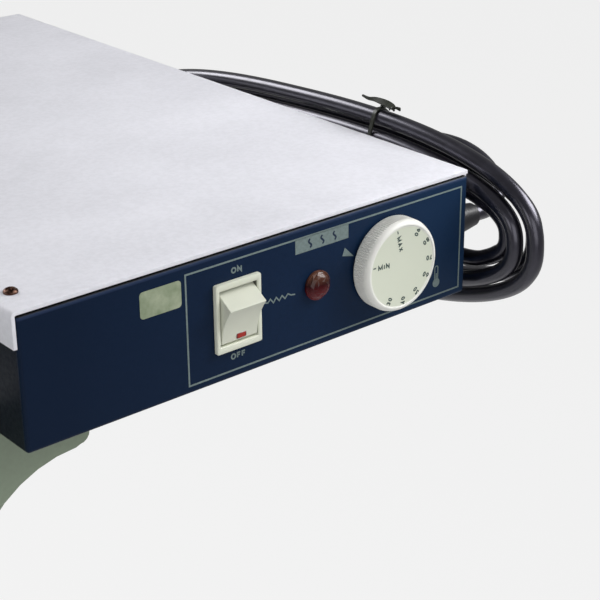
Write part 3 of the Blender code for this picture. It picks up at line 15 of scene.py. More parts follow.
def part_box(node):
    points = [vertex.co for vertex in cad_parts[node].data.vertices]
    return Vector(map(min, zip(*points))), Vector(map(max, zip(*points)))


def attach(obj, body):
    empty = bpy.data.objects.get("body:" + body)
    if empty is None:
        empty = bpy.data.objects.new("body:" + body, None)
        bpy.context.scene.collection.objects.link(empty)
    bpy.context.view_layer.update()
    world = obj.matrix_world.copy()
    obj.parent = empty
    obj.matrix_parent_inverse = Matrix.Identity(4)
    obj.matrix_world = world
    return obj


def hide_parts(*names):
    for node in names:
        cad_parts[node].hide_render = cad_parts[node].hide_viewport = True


bl_info = {
    "name": "Vacuum Ironing Table",
    "version": (1, 0, 0),
    "blender": (4, 5, 0),
    "location": "3D View > Sidebar > Ironing Table",
    "description": "Dresses the packed frame of a vacuum ironing table and sets up its studio",
    "category": "Add Mesh",
}

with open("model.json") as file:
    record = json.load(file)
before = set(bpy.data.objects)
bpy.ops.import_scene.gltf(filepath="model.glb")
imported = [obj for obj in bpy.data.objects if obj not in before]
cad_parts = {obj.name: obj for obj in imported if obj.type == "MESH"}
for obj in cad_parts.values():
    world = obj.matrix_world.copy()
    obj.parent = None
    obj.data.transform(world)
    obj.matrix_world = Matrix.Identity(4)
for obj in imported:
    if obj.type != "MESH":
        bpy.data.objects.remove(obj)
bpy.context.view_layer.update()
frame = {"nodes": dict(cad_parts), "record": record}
MM = 0.001


def corners(node):
    """A node's lowest and highest corners at rest."""
    return [np.array(corner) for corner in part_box(node)]


# Places taken from the frame
BOX_LOW, BOX_HIGH = corners("control_box")
PANEL_LEFT, PANEL_FRONT, PANEL_BASE = BOX_LOW.tolist()
REST_LOW, REST_HIGH = corners("iron_rest")
COVER_LOW, COVER_HIGH = corners("board_cover")
DIAL_LOW, DIAL_HIGH = corners("thermostat_dial")
LAMP_LOW, LAMP_HIGH = corners("lamp_lens")
BEZEL_LOW, BEZEL_HIGH = corners("switch_housing")
ACROSS = [0, 2]  # X and Z, the two axes of the panel's plane


def srgb(red, green, blue):
    """A screen colour, 0 to 255, as the linear colour that Blender mixes: the sRGB curve, a straight foot and then a
    power of 2.4."""
    shares = np.array((red, green, blue)) / 255
    linear = np.where(shares <= 0.04045, shares / 12.92, ((shares + 0.055) / 1.055) ** 2.4)
    return tuple(linear.tolist())


def tinted(color, *shares):
    """A linear colour times one share, or times a share for each of its three channels, and no more than 1."""
    return tuple(min(channel * share, 1) for channel, share in zip(color, shares * (3 // len(shares))))


# Settings
def size(name, description, default, low, high):
    """A length that a user can change."""
    return FloatProperty(
        name=name, description=description, default=default, min=low, max=high, unit="LENGTH", subtype="DISTANCE"
    )


def colour(name, description, *screen):
    """A colour that a user can change, from its screen values."""
    return FloatVectorProperty(
        name=name, description=description, default=srgb(*screen), subtype="COLOR", min=0.0, max=1.0
    )


class TableSizes(PropertyGroup):
    """Sizes of what the scene adds to the frame."""

    print_line: size("Printed line", "Width of the printed lines on the control panel", 0.8 * MM, 0.2 * MM, 3 * MM)
    print_height: size("Ink height", "How far the print stands off the enamel", 0.06 * MM, 0.01 * MM, 0.5 * MM)
    caption_height: size("Switch captions", "Height of the ON and OFF capitals", 3.0 * MM, 1 * MM, 8 * MM)
    dial_figures: size("Dial figures", "Height of the figures on the thermostat dial", 1.9 * MM, 1 * MM, 6 * MM)
    dial_stroke: size("Dial stroke", "Width of the figures' strokes", 0.55 * MM, 0.1 * MM, 1 * MM)
    dial_groove: size("Dial groove", "Depth of the grip grooves round the dial", 0.5 * MM, 0, 2 * MM)
    dial_grooves: IntProperty(
        name="Dial grooves", description="Number of grip grooves round the dial", default=116, min=12, max=300
    )
    cord_diameter: size("Cord", "Diameter of the mains cord", 8.2 * MM, 4 * MM, 14 * MM)
    cover_crown: size("Board crown", "How far the board's padding rises in the middle", 1.2 * MM, 0, 6 * MM)
    cover_pucker: size("Cover puckers", "Depth of the gathers along the cover's hem", 1.1 * MM, 0, 5 * MM)
    sheet_wall: size("Rest sheet", "Thickness of the iron rest's steel sheet", 1.6 * MM, 0.5 * MM, 4 * MM)


class TableColours(PropertyGroup):
    """Colours of the finishes."""

    navy: colour("Box enamel", "Dark blue enamel of the control box", 15, 36, 64)
    white: colour("Rest coat", "White powder coat of the iron rest", 236, 236, 243)
    grey_green: colour("Stand enamel", "Grey-green enamel of the stand and brackets", 146, 159, 139)
    ink: colour("Panel ink", "Grey-green ink of the panel's print", 122, 138, 137)
    cream: colour("Switch plastic", "Greenish ivory of the switch", 230, 233, 216)
    dial: colour("Dial plastic", "Warm white of the thermostat dial", 246, 246, 240)
    figures: colour("Dial figures", "Dark grey-green of the dial's figures", 66, 84, 80)
    red: colour("Lens", "Deep red of the lamp and the switch lens", 122, 22, 30)
    black: colour("Cord", "Black of the mains cord and its fittings", 16, 16, 22)
    cloth: colour("Board cover", "Silver grey of the cotton cover", 196, 199, 198)
    floor: colour("Floor", "Pale floor and backdrop", 246, 246, 246)


# Shader maths
class Term:
    """A socket in a material. Arithmetic on terms adds the Math nodes that it stands for."""

    def __init__(self, tree, socket):
        self.tree, self.socket = tree, socket

    def maths(self, operation, *others):
        """One Math node, with this term as its first input."""
        node = self.tree.nodes.new("ShaderNodeMath")
        node.operation = operation
        for place, value in zip(node.inputs, (self, *others)):
            feed(self.tree, place, value)
        return Term(self.tree, node.outputs[0])

    def __add__(self, other):
        return self.maths("ADD", other)

    def __sub__(self, other):
        return self.maths("SUBTRACT", other)

    def __rsub__(self, other):
        return self.maths("MULTIPLY", -1) + other

    def __mul__(self, other):
        return self.maths("MULTIPLY", other)

    def __truediv__(self, other):
        return self.maths("DIVIDE", other)

    def __pow__(self, other):
        return self.maths("POWER", other)

    def __abs__(self):
        return self.maths("ABSOLUTE")

    __radd__, __rmul__ = __add__, __mul__

    def sine(self):
        return self.maths("SINE")

    def clipped(self):
        """Held between 0 and 1."""
        return self.maths("MAXIMUM", 0).maths("MINIMUM", 1)

    def ramp(self, low, high):
        """0 below low, 1 above high, straight between."""
        return ((self - low) / (high - low)).clipped()


def feed(tree, place, value):
    """Links a term to a socket, or sets the socket's own value."""
    if isinstance(value, Term):
        tree.links.new(value.socket, place)
    elif hasattr(value, "__len__") and len(value) == 3 and place.type == "RGBA":
        place.default_value = (*value, 1)
    else:
        place.default_value = value


class Finish:
    """A material: its Principled shader, and the nodes that vary it over a surface."""

    def __init__(self, name, color, roughness=0.5, metallic=0.0, **sockets):
        self.material = bpy.data.materials.new(name)
        self.material.use_nodes = True
        self.tree = self.material.node_tree
        self.shader = self.tree.nodes["Principled BSDF"]
        self.material.diffuse_color = (*color, 1)
        self.set("Base Color", color)
        self.set("Roughness", roughness)
        self.set("Metallic", metallic)
        for label, value in sockets.items():
            self.set(label.replace("_", " "), value)

    def set(self, label, value):
        """Feeds one socket of the Principled shader."""
        feed(self.tree, self.shader.inputs[label], value)
        return self

    def node(self, kind, settings=None, sockets=None, output=0):
        """A node of any kind: its settings first, then the values or links of its sockets."""
        node = self.tree.nodes.new(kind)
        for setting, value in (settings or {}).items():
            setattr(node, setting, value)
        for label, value in (sockets or {}).items():
            feed(self.tree, node.inputs[label], value)
        return Term(self.tree, node.outputs[output])

    def where(self):
        """Object coordinates."""
        return self.node("ShaderNodeTexCoord", output="Object")

    def axes(self):
        """The object's X, Y and Z, as three terms."""
        parts = self.tree.nodes.new("ShaderNodeSeparateXYZ")
        feed(self.tree, parts.inputs[0], self.where())
        return [Term(self.tree, socket) for socket in parts.outputs]

    def noise(self, scale, detail=2.0, roughness=0.5):
        """Cloudy noise of that many patches to a metre."""
        sockets = {"Vector": self.where(), "Scale": scale, "Detail": detail, "Roughness": roughness}
        return self.node("ShaderNodeTexNoise", {"noise_dimensions": "3D"}, sockets, "Fac")

    def cells(self, scale):
        """The distance to the middle of the nearest cell."""
        return self.node("ShaderNodeTexVoronoi", {}, {"Vector": self.where(), "Scale": scale}, "Distance")

    def blend(self, factor, first, second):
        """One colour fading into another."""
        return self.node("ShaderNodeMix", {"data_type": "RGBA"}, {0: factor, 6: first, 7: second}, 2)

    def bump(self, height, distance, strength=1.0):
        """Leans the normal by the slope of a height."""
        sockets = {"Height": height, "Distance": distance, "Strength": strength}
        return self.set("Normal", self.node("ShaderNodeBump", {}, sockets))


def paint(finish, *names):
    """Gives CAD nodes or pieces this finish in all their slots."""
    for name in names:
        obj = frame["nodes"].get(name) or bpy.data.objects[name]
        obj.data.materials.clear()
        obj.data.materials.append(finish.material)


# Lines worked out with numpy
def circle(turn):
    """Points of the unit circle, a row for each angle."""
    return np.column_stack([np.cos(turn), np.sin(turn)])


def sweep(start, end, count):
    """Points of the unit circle from one angle to another, in degrees."""
    return circle(np.radians(np.linspace(start, end, count)))


def eased(share):
    """A smooth step from 0 to 1: three times the square less twice the cube."""
    return share * share * (3 - 2 * share)


def evenly(points, count):
    """Points at even distances along a line of points, each on the straight between its two neighbours."""
    run = np.concatenate([[0], np.cumsum(np.linalg.norm(np.diff(points, axis=0), axis=1))])
    at = np.linspace(0, run[-1], count)
    return np.stack([np.interp(at, run, axis) for axis in points.T], axis=1)


def at_depth(flat, depth):
    """Points of the panel's plane, X and Z, set at a depth along Y."""
    flat = np.asarray(flat, float)
    return np.column_stack([flat[:, 0], np.full(len(flat), depth), flat[:, 1]])


def panel(points_mm):
    """Points measured on the panel in millimetres from its lower left corner, as X and Z in the frame."""
    return np.asarray(points_mm, float) * MM + (PANEL_LEFT, PANEL_BASE)


def rounded_box(low, high, radius, steps=3):
    """The outline in the panel's plane of a rectangle whose corners are quarter circles."""
    (x0, z0), (x1, z1) = np.add(low, radius), np.subtract(high, radius)
    quarter = np.linspace(0, math.pi / 2, steps + 1)
    middles = ((x1, z1), (x0, z1), (x0, z0), (x1, z0))
    return np.vstack([middle + radius * circle(quarter + k * math.pi / 2) for k, middle in enumerate(middles)])


def turned(profile, centre, axis="-Y", steps=64, ripple=None):
    """A surface of revolution: each (radius, height) of the profile, turned about the axis through the centre. The
    ripple, a function of angle and row, is taken from the radius."""
    profile = np.asarray(profile, float)
    angle = np.linspace(0, math.tau, steps, endpoint=False)
    radius = np.repeat(profile[:, :1], steps, axis=1)
    if ripple is not None:
        radius = radius - ripple(angle[None, :], np.arange(len(profile))[:, None])
    across, up = radius * np.cos(angle), radius * np.sin(angle)
    height = np.repeat(profile[:, 1:], steps, axis=1)
    order = {"-Y": (across, -height, up), "+Z": (across, up, height)}[axis]
    return np.stack(order, axis=-1) + np.asarray(centre, float)


# Pieces
def placed(name, data):
    """A new object in the scene, at the origin."""
    obj = bpy.data.objects.new(name, data)
    bpy.context.scene.collection.objects.link(obj)
    return obj


def soften(obj, width, segments=2, angle=30.0):
    """Rounds a piece's edges that turn by more than an angle."""
    rounding = obj.modifiers.new("soft edges", "BEVEL")
    rounding.width, rounding.segments = width, segments
    rounding.limit_method, rounding.angle_limit = "ANGLE", math.radians(angle)
    rounding.harden_normals = False
    return obj


def joined(mesh, gap, flat=False):
    """Joins a mesh's points that lie within a gap of each other and, where asked, its triangles that lie flat."""
    shape = bmesh.new()
    shape.from_mesh(mesh)
    bmesh.ops.remove_doubles(shape, verts=shape.verts, dist=gap)
    if flat:
        bmesh.ops.dissolve_limit(shape, angle_limit=math.radians(0.5), verts=shape.verts, edges=shape.edges)
    shape.to_mesh(mesh)
    shape.free()


def smoothed(mesh, angle):
    """Shades a mesh smooth, up to edges that turn by more than an angle."""
    mesh.shade_smooth()
    mesh.set_sharp_from_angle(angle=math.radians(angle))


class Surfaces:
    """Grids, slabs and drawn lines gathered into one mesh."""

    def __init__(self):
        self.points, self.faces, self.count = [], [], 0

    def add(self, points, faces, outwards=True):
        """Takes points and faces; a closed set is turned the right way out by the sign of its volume, the sum over
        its faces of the corner triple products."""
        points = np.asarray(points, float).reshape(-1, 3)
        faces = [tuple(face) for face in faces]
        if outwards:
            thirds = [(face[0], face[i], face[i + 1]) for face in faces for i in range(1, len(face) - 1)]
            a, b, c = (points[list(third)] - points.mean(axis=0) for third in zip(*thirds))
            if np.einsum("ij,ij->i", a, np.cross(b, c)).sum() < 0:
                faces = [face[::-1] for face in faces]
        self.points.append(points)
        self.faces += [tuple(int(index) + self.count for index in face) for face in faces]
        self.count += len(points)
        return self

    def grid(self, points, wrap_rows=False, wrap_columns=True, caps=True, outwards=True):
        """A surface of rows and columns: each quad joins a point to the next in its row and in its column. Where the
        rows are closed rings and the stack of them is open, each end gets one flat cap."""
        points = np.asarray(points, float)
        rows, columns = points.shape[:2]
        index = np.arange(rows * columns).reshape(rows, columns)
        if wrap_rows:
            index = np.vstack([index, index[:1]])
        if wrap_columns:
            index = np.hstack([index, index[:, :1]])
        quads = np.stack([index[:-1, :-1], index[:-1, 1:], index[1:, 1:], index[1:, :-1]], axis=-1).reshape(-1, 4)
        faces = quads.tolist()
        if caps and wrap_columns and not wrap_rows:
            faces += [list(range(columns))[::-1], list(range((rows - 1) * columns, rows * columns))]
        return self.add(points, faces, outwards)

    def slab(self, outline, low, high):
        """A flat outline in the panel's plane, given a thickness: two faces and a wall."""
        return self.grid(np.stack([at_depth(outline, low), at_depth(outline, high)]))

    def line(self, path, width, low, high, closed=False):
        """A drawn line: a flat rectangle carried along a path in the panel's plane, mitred at its corners by the
        mean of the two sides' normals over the cosine of half their turn."""
        path = np.asarray(path, float)
        after = np.roll(path, -1, axis=0) - path
        after /= np.linalg.norm(after, axis=1, keepdims=True) + 1e-12
        before = np.roll(after, 1, axis=0)
        if not closed:
            after[-1], before[0] = before[-1], after[0]
        normal = np.stack([-after[:, 1] - before[:, 1], after[:, 0] + before[:, 0]], axis=1)
        normal /= np.linalg.norm(normal, axis=1, keepdims=True)
        spread = np.einsum("ij,ij->i", normal, np.stack([-after[:, 1], after[:, 0]], axis=1))
        side = normal * (width / 2 / np.maximum(spread, 0.3))[:, None]
        edges = [(path + side, low), (path - side, low), (path - side, high), (path + side, high)]
        return self.grid(np.stack([at_depth(*edge) for edge in edges], axis=1), wrap_rows=closed)

    def piece(self, name, finish, body="table", smooth=35.0, instead_of=(), slot=None):
        """The mesh as an object at the origin that rides on a body."""
        mesh = bpy.data.meshes.new(name)
        mesh.from_pydata(np.vstack(self.points).tolist(), [], self.faces)
        mesh.validate()
        mesh.materials.append(finish.material)
        if smooth:
            smoothed(mesh, smooth)
        obj = placed(name, mesh)
        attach(obj, body)
        if instead_of:
            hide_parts(*instead_of)
        return obj


# Letters and figures drawn as strokes, on a grid where a capital is 1 high
def bow(x, z, wide, high, start, end):
    """Points along an ellipse from one angle to another, in degrees."""
    return sweep(start, end, 15) * (wide, high) + (x, z)


GLYPHS = {
    "0": (0.54, [bow(0.27, 0.5, 0.27, 0.5, 90, 450)]),
    "3": (0.50, [bow(0.24, 0.76, 0.24, 0.24, 150, -90), bow(0.24, 0.26, 0.26, 0.26, 90, -150)]),
    "4": (0.56, [[(0.44, 0), (0.44, 1), (0, 0.28), (0.56, 0.28)]]),
    "5": (0.52, [[(0.46, 1), (0.08, 1), (0.05, 0.54)], bow(0.24, 0.31, 0.28, 0.31, 130, -150)]),
    "6": (0.54, [bow(0.27, 0.30, 0.27, 0.30, 90, 450), bow(0.62, 0.30, 0.62, 0.70, 115, 180)]),
    "7": (0.50, [[(0, 1), (0.5, 1), (0.16, 0)]]),
    "8": (0.52, [bow(0.26, 0.76, 0.22, 0.24, -90, 270), bow(0.26, 0.26, 0.26, 0.26, 90, 450)]),
    "9": (0.54, [bow(0.27, 0.70, 0.27, 0.30, 90, 450), bow(-0.08, 0.70, 0.62, 0.70, -65, 0)]),
    "A": (0.64, [[(0, 0), (0.32, 1), (0.64, 0)], [(0.11, 0.34), (0.53, 0.34)]]),
    "F": (0.46, [[(0, 0), (0, 1), (0.46, 1)], [(0, 0.53), (0.40, 0.53)]]),
    "I": (0.00, [[(0, 0), (0, 1)]]),
    "M": (0.74, [[(0, 0), (0, 1), (0.37, 0.25), (0.74, 1), (0.74, 0)]]),
    "N": (0.56, [[(0, 0), (0, 1), (0.56, 0), (0.56, 1)]]),
    "O": (0.66, [bow(0.33, 0.5, 0.33, 0.5, 90, 450)]),
    "X": (0.58, [[(0, 0), (0.58, 1)], [(0, 1), (0.58, 0)]]),
}


def strokes(word, height, middle, turn=0.0, wide=1.0, gap=0.34):
    """The lines of a word of that height, centred on a point of the panel's plane and turned about it; wide stretches
    the letters, and gap, a share of the height, keeps them apart."""
    width = sum(GLYPHS[letter][0] * wide for letter in word) + gap * (len(word) - 1)
    c, s = math.cos(turn), math.sin(turn)
    lines, start = [], -width / 2
    for letter in word:
        reach, paths = GLYPHS[letter]
        for path in paths:
            x, z = (np.asarray(path, float) * (wide, 1) + (start, -0.5)).T * height
            lines.append(np.column_stack([x * c - z * s, x * s + z * c]) + middle)
        start += reach * wide + gap
    return lines


# Studio
FLOOR_LINES = (-14, -8, -5, -3, 3, 8, 16)
FLOOR_GLOW, FLOOR_SEEN = 0.93, 0.9  # strength of the glow that the camera sees, and its share of what it sees
SKY_LIGHT, SKY_SEEN = 0.19, 0.69  # strength of the sky on the object, and what is added where the camera sees it
LIGHT_MIDDLE = Vector((0.5, -0.05, 0.86))
LIGHTS = (
    # name, place from the middle, watts, width
    ("key_light", (0.7, -0.9, 0.9), 5.0, 0.9),
    ("box_light", (0.56, -0.34, 0.34), 2.7, 0.35),
    ("fill_light", (-0.8, -1.8, 0.3), 9, 1.4),
    ("left_light", (-1.9, -0.7, 0.5), 4, 0.8),
    ("rim_light", (-0.4, 2.0, 1.3), 26, 1.1),
)
# The photograph's camera: its axes, its place from the panel's lower left corner and its focal length in pixels
CAMERA_RIGHT = Vector((0.7646358760, -0.6444171085, -0.0076529297))
CAMERA_DOWN = Vector((-0.2684170119, -0.3076505304, -0.9128545661))
CAMERA_AHEAD = Vector((0.5859046721, 0.7000555273, -0.4082131476))
CAMERA_PLACE = Vector((-0.2597816, -0.4754687, 0.3026075))
FOCAL_PIXELS, PICTURE_PIXELS, SENSOR_WIDTH = 1570.2205, 600, 36.0


class TABLE_OT_stage(Operator):
    """The pale floor and backdrop, the soft lights and the photograph's camera"""

    bl_idname = "table.stage"
    bl_label = "Stage"

    def execute(self, context):
        finish = Finish("studio_floor", tuple(context.scene.table_colours.floor), 0.9)
        tree = finish.tree
        glow = finish.node("ShaderNodeEmission", {}, {"Color": (1, 1, 1), "Strength": FLOOR_GLOW}, "Emission")
        mixed = tree.nodes.new("ShaderNodeMixShader")
        feed(tree, mixed.inputs[0], finish.node("ShaderNodeLightPath", output="Is Camera Ray") * FLOOR_SEEN)
        tree.links.new(finish.shader.outputs[0], mixed.inputs[1])
        tree.links.new(glow.socket, mixed.inputs[2])
        tree.links.new(mixed.outputs[0], tree.nodes["Material Output"].inputs[0])
        x, y = np.meshgrid(FLOOR_LINES, FLOOR_LINES)
        floor = Surfaces().grid(np.stack([x, y, np.zeros(x.shape)], axis=-1), wrap_columns=False, outwards=False)
        mesh = bpy.data.meshes.new("floor")
        mesh.from_pydata(np.vstack(floor.points).tolist(), [], [face[::-1] for face in floor.faces])
        mesh.materials.append(finish.material)
        placed("floor", mesh)

        world = bpy.data.worlds.new("studio")
        context.scene.world = world
        world.use_nodes = True
        tree = world.node_tree
        sky = tree.nodes["Background"]
        feed(tree, sky.inputs["Color"], (1, 1, 1))
        path = tree.nodes.new("ShaderNodeLightPath")
        feed(tree, sky.inputs["Strength"], Term(tree, path.outputs["Is Camera Ray"]) * SKY_SEEN + SKY_LIGHT)

        for name, offset, power, width in LIGHTS:
            lamp = bpy.data.lights.new(name, "AREA")
            lamp.energy, lamp.size = power, width
            light = placed(name, lamp)
            light.location = LIGHT_MIDDLE + Vector(offset)
            light.rotation_euler = (-Vector(offset)).to_track_quat("-Z", "Y").to_euler()

        camera = bpy.data.cameras.new("camera")
        camera.sensor_width, camera.lens = SENSOR_WIDTH, SENSOR_WIDTH * FOCAL_PIXELS / PICTURE_PIXELS
        camera.clip_start, camera.clip_end = 0.01, 60
        eye = placed("camera", camera)
        turn = Matrix((CAMERA_RIGHT, -CAMERA_DOWN, -CAMERA_AHEAD)).transposed().to_4x4()
        eye.matrix_world = Matrix.Translation(Vector((PANEL_LEFT, PANEL_FRONT, PANEL_BASE)) + CAMERA_PLACE) @ turn
        context.scene.camera = eye
        context.scene.view_settings.view_transform = "Standard"
        return {"FINISHED"}


# Finishes that several pieces share
def enamel(name, color, roughness=0.42, grain=0.5):
    """Baked enamel on sheet steel: fine orange peel and faint clouds of tone."""
    finish = Finish(name, color, roughness)
    clouds = finish.noise(9.0, 3.0, 0.6).ramp(0.3, 0.7)
    dust = finish.noise(420.0, 2.0, 0.6).ramp(0.35, 0.65)
    finish.set("Base Color", finish.blend(clouds * 0.7 + dust * 0.3, tinted(color, 0.90), tinted(color, 1.10)))
    finish.set("Roughness", roughness + (clouds - 0.5) * 0.08 + (dust - 0.5) * 0.06)
    return finish.bump(finish.noise(900.0, 2.0, 0.5) * 0.7 + finish.noise(260.0, 1.0) * 0.3, 0.00006 * grain, 0.6)


def plastic(name, color, roughness=0.35, grain=1.0):
    """Moulded plastic: a fine spark-eroded grain and a slight drift of tone."""
    finish = Finish(name, color, roughness, Coat_Weight=0.08)
    drift = finish.noise(40.0, 2.0).ramp(0.3, 0.7)
    finish.set("Base Color", finish.blend(drift, tinted(color, 0.94), tinted(color, 1.04)))
    finish.set("Roughness", roughness + (drift - 0.5) * 0.08)
    return finish.bump(finish.noise(1500.0, 2.0, 0.6), 0.00003 * grain, 0.5)


def plated(name, color, roughness=0.32):
    """Plated or drawn metal: a spangled gloss, and a faint warm tint in patches."""
    finish = Finish(name, color, roughness, 1.0)
    spangle = finish.cells(160.0).ramp(0.0, 0.7)
    drawn = finish.noise(30.0, 3.0).ramp(0.4, 0.65)
    finish.set("Base Color", finish.blend(drawn * 0.5, color, tinted(color, 0.96, 0.90, 0.74)))
    finish.set("Roughness", roughness + (spangle - 0.5) * 0.14)
    return finish.bump(finish.noise(600.0, 2.0), 0.00003, 0.5)


def rubber(name, color, roughness=0.78):
    """Moulded rubber, dulled by dust in its pores."""
    finish = Finish(name, color, roughness)
    dust = finish.noise(90.0, 4.0, 0.6).ramp(0.42, 0.72)
    grey = tuple(share * 0.5 + 0.09 for share in color)
    finish.set("Base Color", finish.blend(dust * 0.5, color, grey))
    finish.set("Roughness", roughness + (dust - 0.5) * 0.1)
    return finish.bump(finish.noise(1100.0, 2.0), 0.00005, 0.6)


# Control box. Places on its panel are in millimetres from the lower left corner.
PRINT_FRAME = ((77.9, 3.7), (235.9, 3.7), (235.9, 53.9), (77.9, 53.9))
PLAQUE = ((135.8, 47.0), (166.0, 47.0), (166.0, 53.7), (135.8, 53.7))
PLAQUE_BARS, BAR_BASE, BAR_HIGH, BAR_SWAY = (144.0, 151.0, 158.0), 48.3, 4.0, 0.75
POINTER = ((164.0, 42.8), (162.5, 39.2), (169.2, 37.5))
HEAT_TRACE = ((118.6, 29.6), (120.4, 29.2), (121.7, 30.6), (123.4, 28.4), (124.9, 30.5), (126.6, 28.45))
HEAT_TRACE += ((128.1, 30.4), (129.8, 28.5), (131.3, 30.3), (133.2, 29.2), (135.4, 28.9))
BULB_MIDDLE, BULB_RADIUS = (221.1, 9.9), 2.2
TUBE_MIDDLE, TUBE_LEFT, TUBE_RIGHT = (221.1, 17.3), (220.1, 11.8), (222.1, 11.8)
MERCURY = ((220.7, 11.6), (221.5, 11.6), (221.5, 14.6), (220.7, 14.6))
CAPTIONS, CAPTION_WIDE, CAPTION_GAP = (("ON", (104.0, 49.3)), ("OFF", (103.8, 10.1))), 1.45, 0.5
TRACE_SHARE, TUBE_SHARE, CAPTION_SHARE, BAR_SHARE = 0.72, 0.62, 0.85, 1.1  # of the printed line's width
LABEL_LOW, LABEL_HIGH, LABEL_ROUND, LABEL_THICK = (55.3, 40.8), (75.6, 52.6), 1.6, 0.12 * MM
INK_ROOT, BAR_STEP = 0.02 * MM, 0.03 * MM  # how deep the ink starts in the enamel, and how far the bars stand on it


def navy_enamel(navy):
    """The box's enamel, with painted shade that deepens it towards the left end and painted light that pales it
    towards the right one, a painted highlight along the bend under the top edge, a painted shadow in the gap over it
    and painted
    shade on the left wall: each is blended in over its stretch of millimetres."""
    box = Finish("navy_enamel", navy, 0.40, Specular_IOR_Level=0.16)
    places = zip(box.axes(), (PANEL_LEFT, PANEL_FRONT, PANEL_BASE))
    along, depth, height = ((term - start) / MM for term, start in places)
    clouds = box.noise(12.0, 3.0, 0.6).ramp(0.3, 0.7)
    dust = box.noise(500.0, 2.0, 0.7).ramp(0.35, 0.65)
    tone = box.blend(clouds * 0.6 + dust * 0.4, tinted(navy, 0.84), tinted(navy, 1.16))
    # painted highlight along the rounded top bend of the panel, under the rest's lip
    bend_highlight_band = height.ramp(56.6, 57.3) * (1 - depth * 0.5).clipped()
    # painted shade on the box's left wall
    shaded_left_wall = depth.ramp(1.5, 2.5) * along.ramp(2.0, 1.0)
    for share, shade in (
        # painted shade: the enamel deepens towards the left end
        (along.ramp(135.0, 20.0) * 0.9, tinted(navy, 0.35, 0.56, 0.62)),
        # painted light: the enamel pales towards the right end
        (along.ramp(155.0, 235.0) * 0.9, tinted(navy, 2.2, 1.7, 1.45)),
        (bend_highlight_band * 0.5, srgb(52, 66, 98)),
        # painted shadow: a near-black line in the gap under the rest's lip
        (height.ramp(57.9, 58.2), srgb(8, 10, 14)),
        (shaded_left_wall * 0.7, srgb(2, 5, 14)),
    ):
        tone = box.blend(share, tone, shade)
    box.set("Base Color", tone)
    box.set("Roughness", 0.40 + (dust - 0.5) * 0.14)
    return box.bump(box.noise(820.0, 2.0), 0.00006, 0.6)


def ink_finish(name, color, roughness=0.5, scale=600.0):
    """A flat printing ink with a faint drift of gloss."""
    ink = Finish(name, color, roughness)
    return ink.set("Roughness", roughness + (ink.noise(scale) - 0.5) * 0.2)


class TABLE_OT_control_box(Operator):
    """The navy box, its printed panel and the foil label"""

    bl_idname = "table.control_box"
    bl_label = "Control box"

    def execute(self, context):
        sizes, colours = context.scene.table_sizes, context.scene.table_colours
        paint(navy_enamel(tuple(colours.navy)), "control_box")

        low, high, width = PANEL_FRONT - sizes.print_height, PANEL_FRONT + INK_ROOT, sizes.print_line
        ink = Finish("panel_ink", tuple(colours.ink), 0.55)
        thin = ink.noise(700.0, 3.0, 0.7).ramp(0.36, 0.60)
        ink.set("Base Color", ink.blend(thin, tinted(colours.ink, 0.80), tuple(colours.ink)))
        ink.bump(ink.noise(1600.0, 2.0), 0.00002, 0.5)
        marks = Surfaces()
        bulb = sweep(118, 422, 25) * BULB_RADIUS + BULB_MIDDLE
        for outline in (PLAQUE, POINTER, bulb, MERCURY):
            marks.slab(panel(outline), low, high)
        tube = np.vstack([[TUBE_RIGHT], sweep(0, 180, 9) + TUBE_MIDDLE, [TUBE_LEFT]])
        for path, share in ((PRINT_FRAME, 1.0), (HEAT_TRACE, TRACE_SHARE), (tube, TUBE_SHARE)):
            marks.line(panel(path), width * share, low, high, closed=path is PRINT_FRAME)
        for word, spot in CAPTIONS:
            capital = sizes.caption_height - width
            for stroke in strokes(word, capital, panel(spot), 0.0, CAPTION_WIDE, CAPTION_GAP):
                marks.line(stroke, width * CAPTION_SHARE, low, high)
        marks.piece("panel_print", ink, smooth=0)

        bars, rise = Surfaces(), np.linspace(0, 1, 17)
        for middle in PLAQUE_BARS:
            sway = np.column_stack([middle + BAR_SWAY * np.sin(rise * math.tau), BAR_BASE + BAR_HIGH * rise])
            bars.line(panel(sway), width * BAR_SHARE, low - BAR_STEP, high)
        bars.piece("plaque_heat_marks", ink_finish("plaque_marks", tuple(colours.navy)), smooth=0)

        foil = Finish("label_foil", srgb(176, 190, 158), 0.36, 0.35)
        crease = foil.noise(90.0, 4.0, 0.6).ramp(0.35, 0.65)
        foil.set("Base Color", foil.blend(crease, srgb(140, 156, 124), srgb(188, 198, 170)))
        foil.set("Roughness", 0.30 + crease * 0.2)
        foil.bump(foil.noise(160.0, 3.0), 0.00012, 0.5)
        outline = panel(rounded_box(LABEL_LOW, LABEL_HIGH, LABEL_ROUND))
        Surfaces().slab(outline, PANEL_FRONT - LABEL_THICK, high).piece("foil_label", foil, smooth=0)
        return {"FINISHED"}


# Iron rest
REST_BEND, REST_INSET, FLANGE_BACK = 2.0 * MM, 0.2 * MM, 3 * MM
REST_ROWS, REST_COLUMNS = 40, 26
SCREW_SHANK, DOME_STEP, SCREW_SEAT = 1.75 * MM, 0.8 * MM, 0.05 * MM
CROSS_HALF, CROSS_DEPTH, CROSS_REACH = 0.45 * MM, 0.9 * MM, 0.66


